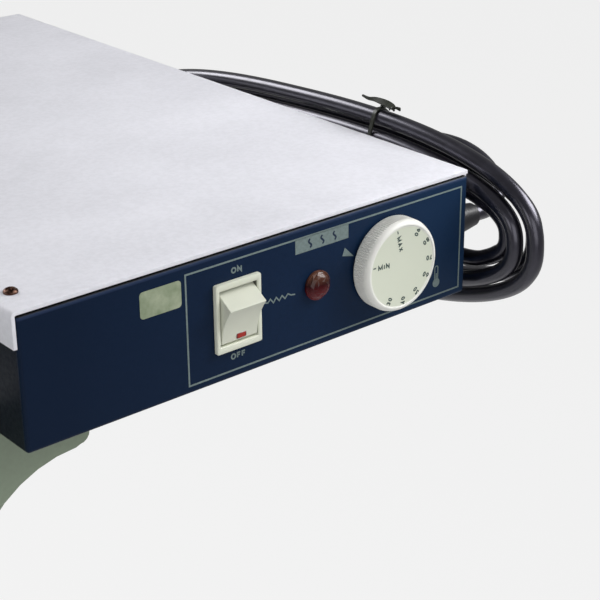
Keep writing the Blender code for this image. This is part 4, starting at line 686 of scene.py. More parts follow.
def rest_sheet():
    """The sheet's outer face. Across, it climbs the left wall, turns by a quarter bend, crosses the top and comes
    down the right wall; along, it runs to the back, falls by the same bend and drops to the low edge. The right
    wall's front eases back over the first rows."""
    low, high, bend = REST_LOW, REST_HIGH, REST_BEND
    quarter = np.linspace(0, math.pi / 2, 5)
    inwards, drop = bend * (1 - np.cos(quarter)), bend * (1 - np.sin(quarter))
    wall_x, wall_z = np.concatenate([[0.0], inwards]), np.concatenate([[low[2]], high[2] - drop])
    left = np.column_stack([low[0] + wall_x, wall_z])
    right = np.column_stack([high[0] - wall_x, wall_z])[::-1]
    middle = np.linspace(low[0] + bend, high[0] - bend, REST_COLUMNS)[1:-1]
    x, z = np.vstack([left, np.column_stack([middle, np.full(len(middle), high[2])]), right]).T
    y = np.concatenate([np.linspace(low[1] + REST_INSET, high[1] - bend, REST_ROWS), high[1] - drop[1:]])
    fall = np.concatenate([np.zeros(REST_ROWS), inwards[1:]])
    right_wall = np.arange(len(x)) >= len(x) - len(wall_x)
    ease = np.clip((high[0] - bend * 0.4 - x) / (bend * 0.6), 0, 1)
    back = np.where(right_wall, (1 - ease) * FLANGE_BACK, 0) * np.clip(1 - np.arange(len(y)) / 4, 0, 1)[:, None]
    points = np.stack(np.broadcast_arrays(x, y[:, None] + back, np.minimum(z, high[2] - fall[:, None])), axis=-1)
    last = points[-1].copy()
    last[:, 2] = low[2]
    return np.concatenate([points, last[None]])


def cross_head(node):
    """A screw: a dome that falls with the cube of the distance from its middle, a shank below it, and a cross pressed
    in where either distance from the middle is small."""
    low, high = corners(node)
    centre, radius, seat = ((low + high) / 2)[:2], (high[0] - low[0]) / 2, REST_HIGH[2]
    lean = np.linspace(0.02, 1, 9)
    dome = np.column_stack([radius * lean, seat + DOME_STEP + (high[2] - seat - DOME_STEP) * (1 - lean**3)])
    foot = [(radius, seat + SCREW_SEAT), (SCREW_SHANK, seat + SCREW_SEAT), (SCREW_SHANK, low[2]), (0.02 * MM, low[2])]
    points = turned(np.vstack([dome, foot]), (*centre, 0), "+Z", 48)
    flat = points[: len(dome), :, :2] - centre
    cross = np.minimum(abs(flat[..., 0]), abs(flat[..., 1])) < CROSS_HALF
    cross &= np.linalg.norm(flat, axis=-1) < radius * CROSS_REACH
    points[: len(dome), :, 2] -= np.where(cross, CROSS_DEPTH, 0)
    return points


class TABLE_OT_iron_rest(Operator):
    """The white folded sheet that covers the box, and its two screws"""

    bl_idname = "table.iron_rest"
    bl_label = "Iron rest"

    def execute(self, context):
        sizes, colours = context.scene.table_sizes, context.scene.table_colours
        coat = enamel("white_powder_coat", tuple(colours.white), 0.55, 1.3).set("Specular IOR Level", 0.25)
        shell = Surfaces().grid(rest_sheet(), wrap_columns=False, outwards=False)
        obj = shell.piece("iron_rest_sheet", coat, smooth=50.0, instead_of=["iron_rest"], slot="white_powder_coat")
        wall = obj.modifiers.new("sheet", "SOLIDIFY")
        wall.thickness, wall.offset, wall.use_even_offset = sizes.sheet_wall, -1.0, True
        soften(obj, 0.25 * MM)

        brown = Finish("browned_steel", srgb(84, 58, 48), 0.28, 1.0)
        scuff = brown.noise(500.0, 3.0).ramp(0.4, 0.7)
        brown.set("Base Color", brown.blend(scuff, srgb(70, 46, 38), srgb(128, 98, 84)))
        brown.set("Roughness", 0.24 + scuff * 0.2)
        for side in ("front", "rear"):
            node = f"cover_screw_{side}"
            head = Surfaces().grid(cross_head(node))
            head.piece(f"cross_head_{side}", brown, smooth=40.0, instead_of=[node], slot="browned_steel")
        return {"FINISHED"}


# Switch
BEZEL_RINGS = (
    # inset across, inset up, corner radius, what the depth is measured from and the depth, in millimetres
    (2.15, 3.15, 0.4, "panel", 12.2),
    (2.1, 3.1, 0.4, "panel", -1.2),
    (1.95, 2.95, 0.4, "front", 0.35),
    (1.6, 2.6, 0.5, "front", 0.02),
    (0.45, 0.45, 0.7, "front", 0),
    (0.12, 0.12, 0.8, "front", 0.14),
    (0, 0, 0.8, "front", 0.5),
    (0, 0, 0.8, "panel", -0.3),
    (1.25, 1.25, 0.5, "panel", -0.3),
    (1.25, 1.25, 0.5, "back", 0),
)
ROCKER_RADIUS, ROCKER_AXLE, ROCKER_MARGIN, FACE_PULL = 12.2 * MM, 2.0 * MM, 2.5 * MM, 3.0 * MM
RIDGE_TURN, FLUSH_TURN, BACK_TURN = 62.0, 19.0, 20.0
# the painted shade inside the bezel's opening: its margins in from the outline, and the heights over the bottom
# across which it fades in
WELL_MARGIN, WELL_BASE = (1.75 * MM, 2.75 * MM), (3.2 * MM, 4.2 * MM)
LENS_SHIFT, LENS_EDGE = 0.7 * MM, 0.15 * MM


def rocker_outline():
    """The rocker's side view, out from its axle and up: its top and its base are arcs of one circle, and its hollow
    face is a quadratic curve between their front ends, pulled inwards at its middle."""
    top = ROCKER_RADIUS * circle(np.radians([*np.linspace(90 + BACK_TURN, 87, 6), 90 - RIDGE_TURN]))
    base = ROCKER_RADIUS * sweep(-90 + FLUSH_TURN, -90 - BACK_TURN, 8)
    ridge, flush = top[-1], base[0]
    pull = (ridge + flush) / 2 - (FACE_PULL, 0)
    share = np.linspace(0, 1, 18)[1:-1, None]
    face = ridge * (1 - share) ** 2 + 2 * pull * share * (1 - share) + flush * share**2
    return np.vstack([top, face, base])


def squareness(axes, middle, half):
    """How near a place is to the edge of a rectangle: the larger of its two distances from the middle, each over
    the half width that way."""
    across, up = (abs(term - float(at)) / float(reach) for term, at, reach in zip(axes, middle, half))
    return across.maths("MAXIMUM", up)


class TABLE_OT_switch(Operator):
    """The rocker switch: its bezel, the hollow-faced rocker and the red lens in it"""

    bl_idname = "table.switch"
    bl_label = "Switch"

    def execute(self, context):
        colours = context.scene.table_colours
        ivory = tuple(colours.cream)
        # the rocker's plastic is a darker copy of the switch's ivory: painted shade
        cream, shaded_paddle_cream = plastic("switch_cream", ivory, 0.30), plastic("rocker_cream", tinted(ivory, 0.92), 0.34)
        low, high = BEZEL_LOW[ACROSS], BEZEL_HIGH[ACROSS]
        middle, half = (low + high) / 2, (high - low) / 2
        front = float(BEZEL_LOW[1])
        x, y, z = cream.axes()
        # painted shade: the bezel's walls inside its opening darken to olive behind the front, fading out towards the
        # bottom
        well_shade = squareness((x, z), middle, half - WELL_MARGIN).ramp(1.02, 0.98) * ((y - front) / MM).ramp(0.3, 1.1)
        well_shade = well_shade * (z - float(low[1])).ramp(*WELL_BASE)
        cream.set("Base Color", cream.blend(well_shade * 0.9, ivory, srgb(62, 66, 52)))
        start = {"panel": PANEL_FRONT, "front": front, "back": BEZEL_HIGH[1]}
        rows = []
        for across, up, radius, origin, depth in BEZEL_RINGS:
            inset = np.array((across, up)) * MM
            rows.append(at_depth(rounded_box(low + inset, high - inset, radius * MM), start[origin] + depth * MM))
        bezel = Surfaces().grid(np.stack(rows))
        bezel.piece("switch_bezel", cream, smooth=40.0, instead_of=["switch_housing"], slot="cream_plastic")

        outline, reach = rocker_outline(), half[0] - ROCKER_MARGIN
        y, z = PANEL_FRONT + ROCKER_AXLE - outline[:, 0], middle[1] + outline[:, 1]
        rocker = Surfaces().grid([np.column_stack([np.full(len(y), middle[0] + x), y, z]) for x in (-reach, reach)])
        body = {"body": "rocker", "smooth": 30.0, "instead_of": ["rocker"], "slot": "cream_plastic"}
        paddle = rocker.piece("rocker_paddle", shaded_paddle_cream, **body)
        soften(paddle, 0.35 * MM, 3, 25.0)

        low, high = corners("rocker_lens")
        middle, wide = ((low + high) / 2)[ACROSS], (high - low)[ACROSS]
        window = Finish("window_red", tuple(colours.red), 0.16, Coat_Weight=0.6)
        x, _, z = window.axes()
        shown = middle + (LENS_SHIFT, 0)
        edge = squareness((x, z), shown, wide / 2)
        window.set("Base Color", window.blend(edge.ramp(0.62, 0.95), srgb(172, 40, 26), srgb(104, 24, 26)))
        flat = rounded_box(low[ACROSS], high[ACROSS], 0.35 * MM) - middle
        rows = []
        for inset, depth in ((0, high[1]), (0, low[1] + LENS_EDGE), (LENS_EDGE, low[1])):
            rows.append(at_depth(flat * (1 - inset / wide * 2) + shown, depth))
        glass = Surfaces().grid(np.stack(rows))
        glass.piece("rocker_window", window, "rocker", 40.0, instead_of=["rocker_lens"], slot="red_lens")
        return {"FINISHED"}


# Heating lamp
FACETS, FACET_LEANS, LAMP_CROWN, LAMP_SHARE = 12, (6, 26, 46, 66, 84), 3.8 * MM, 0.93
LENS_FRONT, LAMP_SEAT, DOME_SINK, COLLAR_IN, COLLAR_OUT = 0.6 * MM, 0.3 * MM, 0.05 * MM, 1.2 * MM, 1.0 * MM
LAMP_SHADE = 6.8 * MM  # the height from the lens's middle over which its painted reflection above and its painted brighter red below are measured


def cut_dome(centre, radius, front, seat):
    """The cut lens: rings of a sphere's cap, stretched to the crown's depth, each turned by half a facet from the one
    before it, and a wall from the last ring to the seat."""
    lean = np.radians(FACET_LEANS)
    height = -front - LAMP_CROWN + LAMP_CROWN * np.cos(lean) - DOME_SINK
    angle = np.linspace(0, math.tau, FACETS, endpoint=False)
    rows = []
    for index, (ring, out) in enumerate(zip(radius * np.sin(lean), height)):
        spin = angle + (index % 2) * math.pi / FACETS
        rows.append(at_depth(ring * circle(spin) + centre[ACROSS], -out))
    rows.append(rows[-1] * (1, 0, 1) + (0, seat, 0))
    return np.stack(rows)


class TABLE_OT_lamp(Operator):
    """The heating lamp's cut red lens"""

    bl_idname = "table.lamp"
    bl_label = "Lamp"

    def execute(self, context):
        red = Finish("lamp_red", tuple(context.scene.table_colours.red), 0.14, Specular_IOR_Level=0.3)
        centre, radius = (LAMP_LOW + LAMP_HIGH) / 2, float((LAMP_HIGH - LAMP_LOW)[0] / 2)
        up = (red.axes()[2] - float(centre[2])) / LAMP_SHADE
        inner = red.blend(red.noise(150.0, 2.0).ramp(0.35, 0.65), srgb(34, 4, 9), srgb(60, 8, 14))
        # painted reflection: the upper half of the lens fades from dark red to olive brown
        reflected_top = red.blend(up.ramp(0.15, 0.8), inner, srgb(96, 62, 48))
        # painted light: below its middle the lens turns a brighter red
        red.set("Base Color", red.blend(up.ramp(-1.0, 0.2), srgb(112, 18, 28), reflected_top))
        seat, inside = PANEL_FRONT - LAMP_SEAT, radius * LAMP_SHARE
        lens = Surfaces().grid(cut_dome(centre, inside, LAMP_LOW[1] + LENS_FRONT, seat))
        lens.piece("lamp_dome", red, smooth=0, instead_of=["lamp_lens"], slot="red_lens")
        ring = [(inside, -seat), (inside, -seat + COLLAR_IN), (radius, -seat + COLLAR_OUT), (radius, -seat)]
        collar = Surfaces().grid(turned(ring, (centre[0], 0, centre[2]), "-Y", 48), wrap_rows=True)
        collar.piece("lamp_collar", red, smooth=40.0, slot="red_lens")
        paint(plastic("lamp_holder", srgb(30, 30, 32), 0.5), "lamp_body", "thermostat_body")
        return {"FINISHED"}


# Thermostat dial. Distances in from its rim and back from its face are in millimetres.
DIAL_STEP, FACE_EDGE, SHAFT_RADIUS, SHAFT_TIP, PIN_HOLE = 0.4, (2.95, 2.65, 0.06), 3.0, 20.0, 0.3
DIAL_ROUND = ((2.45, 0.06), (2.2, 0), (1.9, 0.04), (1.5, 0.22), (1.1, 0.55), (0.75, 1.0), (0.5, 1.6), (0.38, 2.2))
GRIP_DROPS, GRIP_BASE = (2.6, 4.2, 6.0), 1.7
DIAL_FOOT = ((0.4, 1.2), (0.9, 1.0))
DIAL_SPOT = np.array((189.4, 30.0))  # the dial's middle on the panel, from which the marks' places are taken
DIAL_WORDS = (
    # word, place on the panel, turn in degrees or None where it faces the middle, stretch, gap
    ("MIN", (178.1, 32.9), 0.0, 1.5, 0.66),
    ("MAX", (187.6, 41.2), -75.0, 1.3, 0.55),
    ("90", (197.3, 42.7), None, 1.05, 0.55),
    ("80", (203.4, 38.1), None, 1.05, 0.55),
    ("70", (205.6, 29.9), None, 1.05, 0.55),
    ("60", (204.0, 22.1), None, 1.05, 0.55),
    ("50", (198.1, 16.0), None, 1.05, 0.55),
    ("40", (190.2, 13.9), None, 1.05, 0.55),
    ("30", (182.1, 15.8), None, 1.05, 0.55),
)
DIAL_TICKS, TICK_HALF, TICK_WIDTH = (((172.6, 33.6), 0.0), ((186.3, 47.0), -75.0)), 0.75, 0.55 * MM
FIGURE_INSET, FIGURE_HALF = 4.95 * MM, 0.06 * MM


class TABLE_OT_dial(Operator):
    """The thermostat dial: its grooved rim, smooth ring and dished face with figures"""

    bl_idname = "table.dial"
    bl_label = "Thermostat dial"

    def execute(self, context):
        sizes, colours = context.scene.table_sizes, context.scene.table_colours
        centre = (DIAL_LOW + DIAL_HIGH) / 2
        radius, out = float(DIAL_HIGH[0] - DIAL_LOW[0]) / 2, float(PANEL_FRONT - DIAL_LOW[1])
        face, (edge_in, edge_out, edge_rise) = out - DIAL_STEP * MM, FACE_EDGE
        profile = [(PIN_HOLE * MM, face), (radius - edge_in * MM, face)]
        profile.append((radius - edge_out * MM, face + edge_rise * MM))
        profile += [(radius - back * MM, out - drop * MM) for back, drop in DIAL_ROUND]
        first_grooved = len(profile)
        profile += [(radius, out - drop * MM) for drop in GRIP_DROPS] + [(radius, GRIP_BASE * MM)]
        after_grooved = len(profile)
        profile += [(radius - back * MM, height * MM) for back, height in DIAL_FOOT]
        shaft = ((SHAFT_RADIUS, 1.0), (SHAFT_RADIUS, -SHAFT_TIP), (PIN_HOLE, -SHAFT_TIP))
        profile += [(across * MM, height * MM) for across, height in shaft]
        depth, count = sizes.dial_groove, sizes.dial_grooves

        def ripple(angle, row):
            """Rounded teeth: the groove's depth times a cosine wave between 0 and 1, to a power that narrows it."""
            wave = (0.5 + 0.5 * np.cos(count * angle)) ** 1.3
            return depth * wave * ((row >= first_grooved) & (row < after_grooved))

        knob = Surfaces().grid(turned(profile, (centre[0], PANEL_FRONT, centre[2]), "-Y", count * 6, ripple))
        white = tuple(colours.dial)
        dial = plastic("dial_plastic", white, 0.33)
        x, _, z = dial.axes()
        away = ((x - float(centre[0])) ** 2 + (z - float(centre[2])) ** 2) ** 0.5
        # painted light on the rim: the dial's white is kept paler there than on the face inside it, which blends to a
        # greener grey
        inside = 1 - away.ramp(radius - 3.4 * MM, radius - 2.6 * MM)
        dial.set("Base Color", dial.blend(inside * 0.85, white, srgb(220, 226, 206)))
        knob.piece("dial_knob", dial, "dial", 32.0, instead_of=["thermostat_dial"], slot="cream_plastic")

        figures, low, high = Surfaces(), PANEL_FRONT - face - FIGURE_HALF, PANEL_FRONT - face + FIGURE_HALF
        for word, place, turn, wide, gap in DIAL_WORDS:
            away = (place - DIAL_SPOT) * MM
            if turn is None:
                turn = math.degrees(math.atan2(-away[1], -away[0]))
                away *= (radius - FIGURE_INSET) / np.linalg.norm(away)
            middle = centre[ACROSS] + away
            for stroke in strokes(word, sizes.dial_figures, middle, math.radians(turn), wide, gap):
                figures.line(stroke, sizes.dial_stroke, low, high)
        for place, turn in DIAL_TICKS:
            step = sweep(turn, turn, 1)[0] * TICK_HALF
            spot = place - DIAL_SPOT + centre[ACROSS] / MM
            figures.line(np.stack([spot - step, spot + step]) * MM, TICK_WIDTH, low, high)
        figures.piece("dial_figures", ink_finish("dial_ink", tuple(colours.figures), scale=900.0), "dial", smooth=0)
        return {"FINISHED"}


# Pieces that follow a node of the frame
FINISHES = {}


def shared(make, name, *settings):
    """A finish that several operators use, made once."""
    if name not in FINISHES:
        FINISHES[name] = make(name, *settings)
    return FINISHES[name]


def grey_green(colours):
    """The stand's enamel."""
    return shared(enamel, "grey_green_enamel", tuple(colours.grey_green), 0.44)


def moulded_black():
    """The black plastic of the knob, the sliders, the pedal's base and the fan."""
    return shared(plastic, "moulded_black", srgb(26, 26, 30), 0.38, 1.5)


def zinc():
    """The plate of the bolts, the rails, the cord's hook and the plug's pins."""
    return shared(plated, "zinc_plate", srgb(190, 192, 192))


def foot_rubber():
    """The rubber of the foot caps, the pedal and the fan's gasket."""
    return shared(rubber, "foot_rubber", srgb(42, 43, 45))


BODY_OF = {node: body for body, nodes in frame["record"]["behaviour"]["bodies"].items() for node in nodes}


def dress(node, finish, bevel=0.4 * MM, smooth=34.0, segments=2):
    """A copy of a node with its triangles joined, its rounds shaded smooth and its edges softened, which stands for
    the node."""
    mesh = frame["nodes"][node].data.copy()
    mesh.name = f"{node}_skin"
    joined(mesh, 2e-6, flat=True)
    mesh.materials.clear()
    mesh.materials.append(finish.material)
    mesh.polygons.foreach_set("material_index", np.zeros(len(mesh.polygons), int))
    smoothed(mesh, smooth)
    obj = placed(f"{node}_skin", mesh)
    if bevel:
        soften(obj, bevel, segments, smooth)
    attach(obj, BODY_OF[node])
    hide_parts(node)
    next(entry["material_slot"] for entry in frame["record"]["subparts"] if entry["node"] == node)
    return obj


# Mains cord. Each slot is a distance out from the box and an inset of the loop, in cord diameters; each shift is the
# stretch of its loop, in radians, over which the cord steps to the next slot.
CORD_SLOTS = np.array(((2.50, 1.0), (1.46, 0.0), (1.02, 1.16), (1.72, 2.36)))
CORD_SHIFTS = np.array(((5.76, 6.22), (5.30, 5.76), (4.84, 5.30), (99.0, 100.0)))
CORD_START, CORD_END, CORD_TURNS = -0.95, -2.52, 4
CORD_RISE = ((0.2, -0.05), (0.4, 0.34), (0.6, 0.75), (0.8, 0.985), (1.0, 1.0))
COIL_MIDDLE, COIL_HALF, COIL_POWER = (132 * MM, 20 * MM), (165 * MM, 45 * MM), 2.5
COIL_LEAN = math.radians(-3.4)
LEAD_ROUTE = (
    (0.0313, 0.0260, 0.0240),
    (0.0440, 0.0264, 0.0243),
    (0.0550, 0.0315, 0.0290),
    (0.0610, 0.0460, 0.0380),
    (0.0600, 0.0660, 0.0435),
    (0.0550, 0.0900, 0.0420),
    (0.0480, 0.1180, 0.0300),
    (0.0410, 0.1450, 0.0160),
    (0.0325, 0.1675, -0.0030),
    (0.0270, 0.1900, -0.0165),
)
PLUG_OUT, PLUG_RADIUS, PLUG_GAP, TAIL_REACH = 18.5 * MM, 17 * MM, 0.3 * MM, 0.74
FRAME_STEPS = 36  # the places to a turn at which the frame draws its coil, whose last three lead into the end
LEAD_POINTS, TURN_POINTS, TAIL_POINTS = 96, 620, 40
BOX_RIGHT = float(BOX_HIGH[0])
# The wire tie: its place along the strands, its band, and each end's knots and widths in millimetres and its turn
TIE_ALONG, TIE_BAND, TIE_THICK, TIE_GAP = -62 * MM, 2.2 * MM, 0.8 * MM, 0.1 * MM
ARC_POINTS, END_POINTS = 10, 22
TIE_ENDS = (
    (((0, -1, 0), (0.5, -3, 0.6), (0.2, -7, 0.5), (-0.3, -10, 0.2)), 3.2, 2.6, 420),
    (((0.2, -9.5, 0.6), (0, -5, 2.2), (-0.6, 2, 3.2), (-1.2, 7, 3.2), (-1.6, 11, 4.2)), 4.6, 0.8, 100),
    (((0.2, -8, 0.3), (0.8, -11, 0.7), (1.6, -13, 0.2)), 3.0, 2.0, 60),
)


def coil_place(out, along, up):
    """A place beside the box's right wall, turned by the coil's lean: along Y and up Z from the coil's middle."""
    y = PANEL_FRONT + COIL_MIDDLE[0] + along * np.cos(COIL_LEAN) - up * np.sin(COIL_LEAN)
    z = PANEL_BASE + COIL_MIDDLE[1] + along * np.sin(COIL_LEAN) + up * np.cos(COIL_LEAN)
    return np.stack(np.broadcast_arrays(BOX_RIGHT + out, y, z), axis=-1)


def coil_points(angle, diameter):
    """Four flattened loops, each in its own slot: a superellipse of the turning angle whose half axes shrink by the
    slot's inset, with a smooth step from one slot to the next on the lower run."""
    angle = np.asarray(angle, float)
    turn = (angle - CORD_START) / math.tau
    slot = np.clip(turn.astype(int), 0, CORD_TURNS - 1)
    start, end = CORD_SHIFTS[slot].T
    share = eased(np.clip((angle - CORD_START - slot * math.tau - start) / (end - start), 0, 1)[:, None])
    after = CORD_SLOTS[np.minimum(slot + 1, CORD_TURNS - 1)]
    out, inset = ((CORD_SLOTS[slot] * (1 - share) + after * share) * diameter).T
    c, s = np.cos(angle), np.sin(angle)
    along = np.sign(c) * (COIL_HALF[0] - inset) * abs(c) ** (2 / COIL_POWER)
    up = np.sign(s) * (COIL_HALF[1] - inset) * abs(s) ** (2 / COIL_POWER)
    return coil_place(out, along, up)


def smooth_path(knots, count):
    """Points along a Catmull-Rom curve through the knots: each is a cubic blend of the four knots around it."""
    knots = np.asarray(knots, float)
    padded = np.vstack([2 * knots[0] - knots[1], knots, 2 * knots[-1] - knots[-2]])
    t = np.linspace(0, 1, 24, endpoint=False)[None, :, None]
    a, b, c, d = (padded[k : len(padded) - 3 + k][:, None] for k in range(4))
    fine = 0.5 * (2 * b + (c - a) * t + (2 * a - 5 * b + 4 * c - d) * t**2 + (3 * b - a - 3 * c + d) * t**3)
    return evenly(np.vstack([fine.reshape(-1, 3), knots[-1:]]), count)


def cord_line(diameter):
    """The whole cord: a smooth path from the gland over the coil's side to its back, four turns, and a smooth path
    that rises to the plug. The turns end two of the frame's steps early, where the last path takes over."""
    end = CORD_END + math.tau * CORD_TURNS
    step = (end - CORD_START) / (int(FRAME_STEPS * (end - CORD_START) / math.tau) - 1)
    turns = coil_points(np.linspace(CORD_START, end - 2 * step, TURN_POINTS), diameter)
    first, second = coil_points([CORD_START, CORD_START + step], diameter)
    heading = (first - second) / np.linalg.norm(first - second) * diameter
    route = np.array(LEAD_ROUTE) + (BOX_RIGHT, PANEL_FRONT, PANEL_BASE)
    lead = smooth_path([*route, first + heading * 2, first + heading, first], LEAD_POINTS)
    slot_out, inset = CORD_SLOTS[-1] * diameter
    half = COIL_HALF[1] - inset
    lift = PLUG_RADIUS - (half - diameter / 2 - PLUG_GAP)
    low = -half * abs(math.sin(end)) ** (2 / COIL_POWER)
    reach, plug = -COIL_HALF[0] * TAIL_REACH, -COIL_HALF[0] / 4
    share, rise = np.transpose(CORD_RISE)
    out, along = slot_out + (PLUG_OUT - slot_out) * share, reach + (plug - reach) * share
    climb = coil_place(out, along, low + (lift - low) * rise)
    tail = smooth_path([*coil_points([end - 2 * step, end - step, end], diameter), *climb], TAIL_POINTS)
    return np.vstack([lead[:-1], turns[:-1], tail])


def ribbon(path, side, width, thick, turn=0.0, closed=False):
    """Rows of a flat strip's four corners along a path: half its width along the side direction, turned about the
    path by an angle, and half its thickness across that."""
    path = np.asarray(path, float)
    ahead = np.roll(path, -1, axis=0) - np.roll(path, 1, axis=0) if closed else np.gradient(path, axis=0)
    ahead /= np.linalg.norm(ahead, axis=1, keepdims=True)
    side = np.broadcast_to(side, path.shape)
    up = np.cross(side, ahead)
    up /= np.linalg.norm(up, axis=1, keepdims=True)
    side = np.cross(ahead, up)
    turn, width = (np.broadcast_to(value, len(path))[:, None] for value in (turn, width))
    flat = (side * np.cos(turn) + up * np.sin(turn)) * width / 2
    deep = (up * np.cos(turn) - side * np.sin(turn)) * thick / 2
    return np.stack([path + flat * a + deep * b for a, b in ((-1, -1), (1, -1), (1, 1), (-1, 1))], axis=1)


def strand(slot, along, diameter):
    """The middle of one slot's upper strand: its distance out, and the superellipse's height above the coil's middle
    at a distance along it."""
    out, inset = CORD_SLOTS[slot] * diameter
    share = (abs(along) / (COIL_HALF[0] - inset)) ** (COIL_POWER / 2)
    return out, (COIL_HALF[1] - inset) * (1 - share * share) ** (1 / COIL_POWER)


def twist_tie(diameter):
    """The wire tie: a loop round the coil's three outer strands, the knot on top and its two flat ends. The loop is
    the rounded triangle round the three strands, an arc at each corner between its two sides' directions. Each end
    goes evenly from its first width to its last, narrowed over its first part by a square root."""
    run = coil_place(0, 1, 0) - coil_place(0, 0, 0)
    strands = np.array([strand(slot, TIE_ALONG, diameter) for slot in range(3)])
    sides = np.roll(strands, -1, axis=0) - strands
    facing = np.unwrap(np.arctan2(sides[:, 1], sides[:, 0])) - math.pi / 2
    radius = (diameter + TIE_THICK) / 2 + TIE_GAP
    starts = np.concatenate([[facing[-1] - math.tau], facing[:-1]])
    arcs = [circle(np.linspace(start, end, ARC_POINTS)) * radius for start, end in zip(starts, facing)]
    loop = np.vstack([middle + arc for middle, arc in zip(strands, arcs)])
    pieces = Surfaces()
    ring = coil_place(loop[:, 0], np.full(len(loop), TIE_ALONG), loop[:, 1])
    pieces.grid(ribbon(ring, run, TIE_BAND, TIE_THICK, closed=True), wrap_rows=True)
    out, crown = strands[1] + (0, radius + TIE_THICK)
    for knots, width, end_width, turns in TIE_ENDS:
        path = smooth_path([(out + a * MM, TIE_ALONG + b * MM, crown + c * MM) for a, b, c in knots], END_POINTS)
        share = np.linspace(0, 1, len(path))
        root = np.sqrt(np.clip(share * 9 + 0.4, 0, 1))
        wide = (width + (end_width - width) * share) * root * MM
        path = coil_place(*path.T)
        ahead = np.gradient(path, axis=0)
        pieces.grid(ribbon(path, np.cross(ahead, (0, 0, 1)), wide, TIE_THICK, np.radians(turns) * share))
    return pieces


class TABLE_OT_cord(Operator):
    """The mains cord and its coil, the gland, the hook, the tie and the plug"""

    bl_idname = "table.cord"
    bl_label = "Mains cord"

    def execute(self, context):
        sizes, colours = context.scene.table_sizes, context.scene.table_colours
        diameter = sizes.cord_diameter
        black = tuple(colours.black)
        sheath = Finish("cord_sheath", black, 0.32, Specular_IOR_Level=0.85, Coat_Weight=0.7, Coat_Roughness=0.2)
        sheath.set("Specular Tint", srgb(226, 222, 250))
        scuff = sheath.noise(120.0, 4.0, 0.6).ramp(0.45, 0.75)
        sheath.set("Base Color", sheath.blend(scuff * 0.5, black, srgb(38, 37, 46)))
        sheath.set("Roughness", 0.28 + scuff * 0.1)
        sheath.bump(sheath.noise(340.0, 2.0), 0.00005, 0.5)

        path = cord_line(diameter)
        curve = bpy.data.curves.new("mains_cord", "CURVE")
        curve.dimensions = "3D"
        curve.bevel_depth, curve.bevel_resolution = diameter / 2, 4
        curve.use_fill_caps = True
        line = curve.splines.new("POLY")
        line.points.add(len(path) - 1)
        line.points.foreach_set("co", np.column_stack([path, np.ones(len(path))]).ravel())
        line.use_smooth = True
        curve.materials.append(sheath.material)
        cord = placed("mains_cord", curve)
        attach(cord, "table")
        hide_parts("power_cord", "cord_coil")

        moulded = plastic("cord_fittings", srgb(26, 26, 30), 0.38, 1.5)
        steel = zinc()
        olive = rubber("tie_olive", srgb(34, 38, 26), 0.38)
        tie = twist_tie(diameter).piece("wire_tie", olive, smooth=40.0, instead_of=["cable_tie"])
        plug = dress("plug", moulded, 0.8 * MM, 40.0, 3)
        pins = [dress(f"plug_pin_{side}", steel, 0.6 * MM) for side in ("upper", "lower")]
        dress("cable_gland", moulded, 0.3 * MM)
        dress("cord_hanger", steel, 0.5 * MM, 34.0, 3)
        return {"FINISHED"}


# Board
NOSE_X, BOARD_RIGHT = COVER_LOW[0], COVER_HIGH[0]
BOARD_HALF = (COVER_HIGH[1] - COVER_LOW[1]) / 2
BOARD_MIDDLE = (COVER_HIGH[1] + COVER_LOW[1]) / 2
NOSE_HALF, NOSE_RADIUS, BOARD_CORNER, TAPER = 128 * MM, 70 * MM, 25 * MM, 420 * MM
COVER_TOP, COVER_HEM, COVER_ROUND = COVER_HIGH[2], COVER_LOW[2], 7 * MM
PAD_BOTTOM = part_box("board_pad")[0][2]
# The cover's rings: insets from the board's outline are in millimetres, heights in metres
HEM_RINGS = ((14.0, PAD_BOTTOM - 3 * MM), (6.0, COVER_HEM + 2.2 * MM), (2.2, COVER_HEM + 0.4 * MM))
HEM_RINGS += ((0.9, COVER_HEM + 1.6 * MM),)
WALL_SHARES, WALL_INSET, ROUND_INSET = (0.12, 0.25, 0.4, 0.55, 0.7), 0.5, 0.4
TOP_INSETS, SPINE_SHARES = (11, 16, 24, 36, 52), (0.15, 0.3, 0.45, 0.6, 0.75, 0.9, 1.0)
SPINE_LEFT, SPINE_RIGHT = NOSE_X + 200 * MM, BOARD_RIGHT - 220 * MM
PUCKERS = ((61, 0, 0.6), (97, 1.3, 0.4))  # each wave's number round the hem, its start and its share
PUCKER_RISE, CROWN_START = 0.75, 4 * MM
THREAD = 1.1 * MM


def board_outline(inset, per_side=150):
    """The board's outline, each half in points at even distances from the nose's tip to the middle of the square end:
    a quarter round, a side that widens as a smooth step, and a small corner round. The other half mirrors it."""
    radius = NOSE_RADIUS - inset
    nose = sweep(180, 90, 25) * radius + (NOSE_X + NOSE_RADIUS, NOSE_HALF - NOSE_RADIUS)
    share = np.linspace(0, 1, 60)[1:]
    widening = NOSE_HALF + (BOARD_HALF - NOSE_HALF) * eased(share) - inset
    side = np.column_stack([NOSE_X + NOSE_RADIUS + TAPER * share, widening])
    radius = max(BOARD_CORNER - inset, 1 * MM)
    turn = sweep(90, 0, 13) * radius + (BOARD_RIGHT - inset - radius, BOARD_HALF - inset - radius)
    half = evenly(np.vstack([[(NOSE_X + inset, 0)], nose, side, turn, [(BOARD_RIGHT - inset, 0)]]), per_side + 1)
    return np.vstack([half, half[1:-1][::-1] * (1, -1)]) + (0, BOARD_MIDDLE)


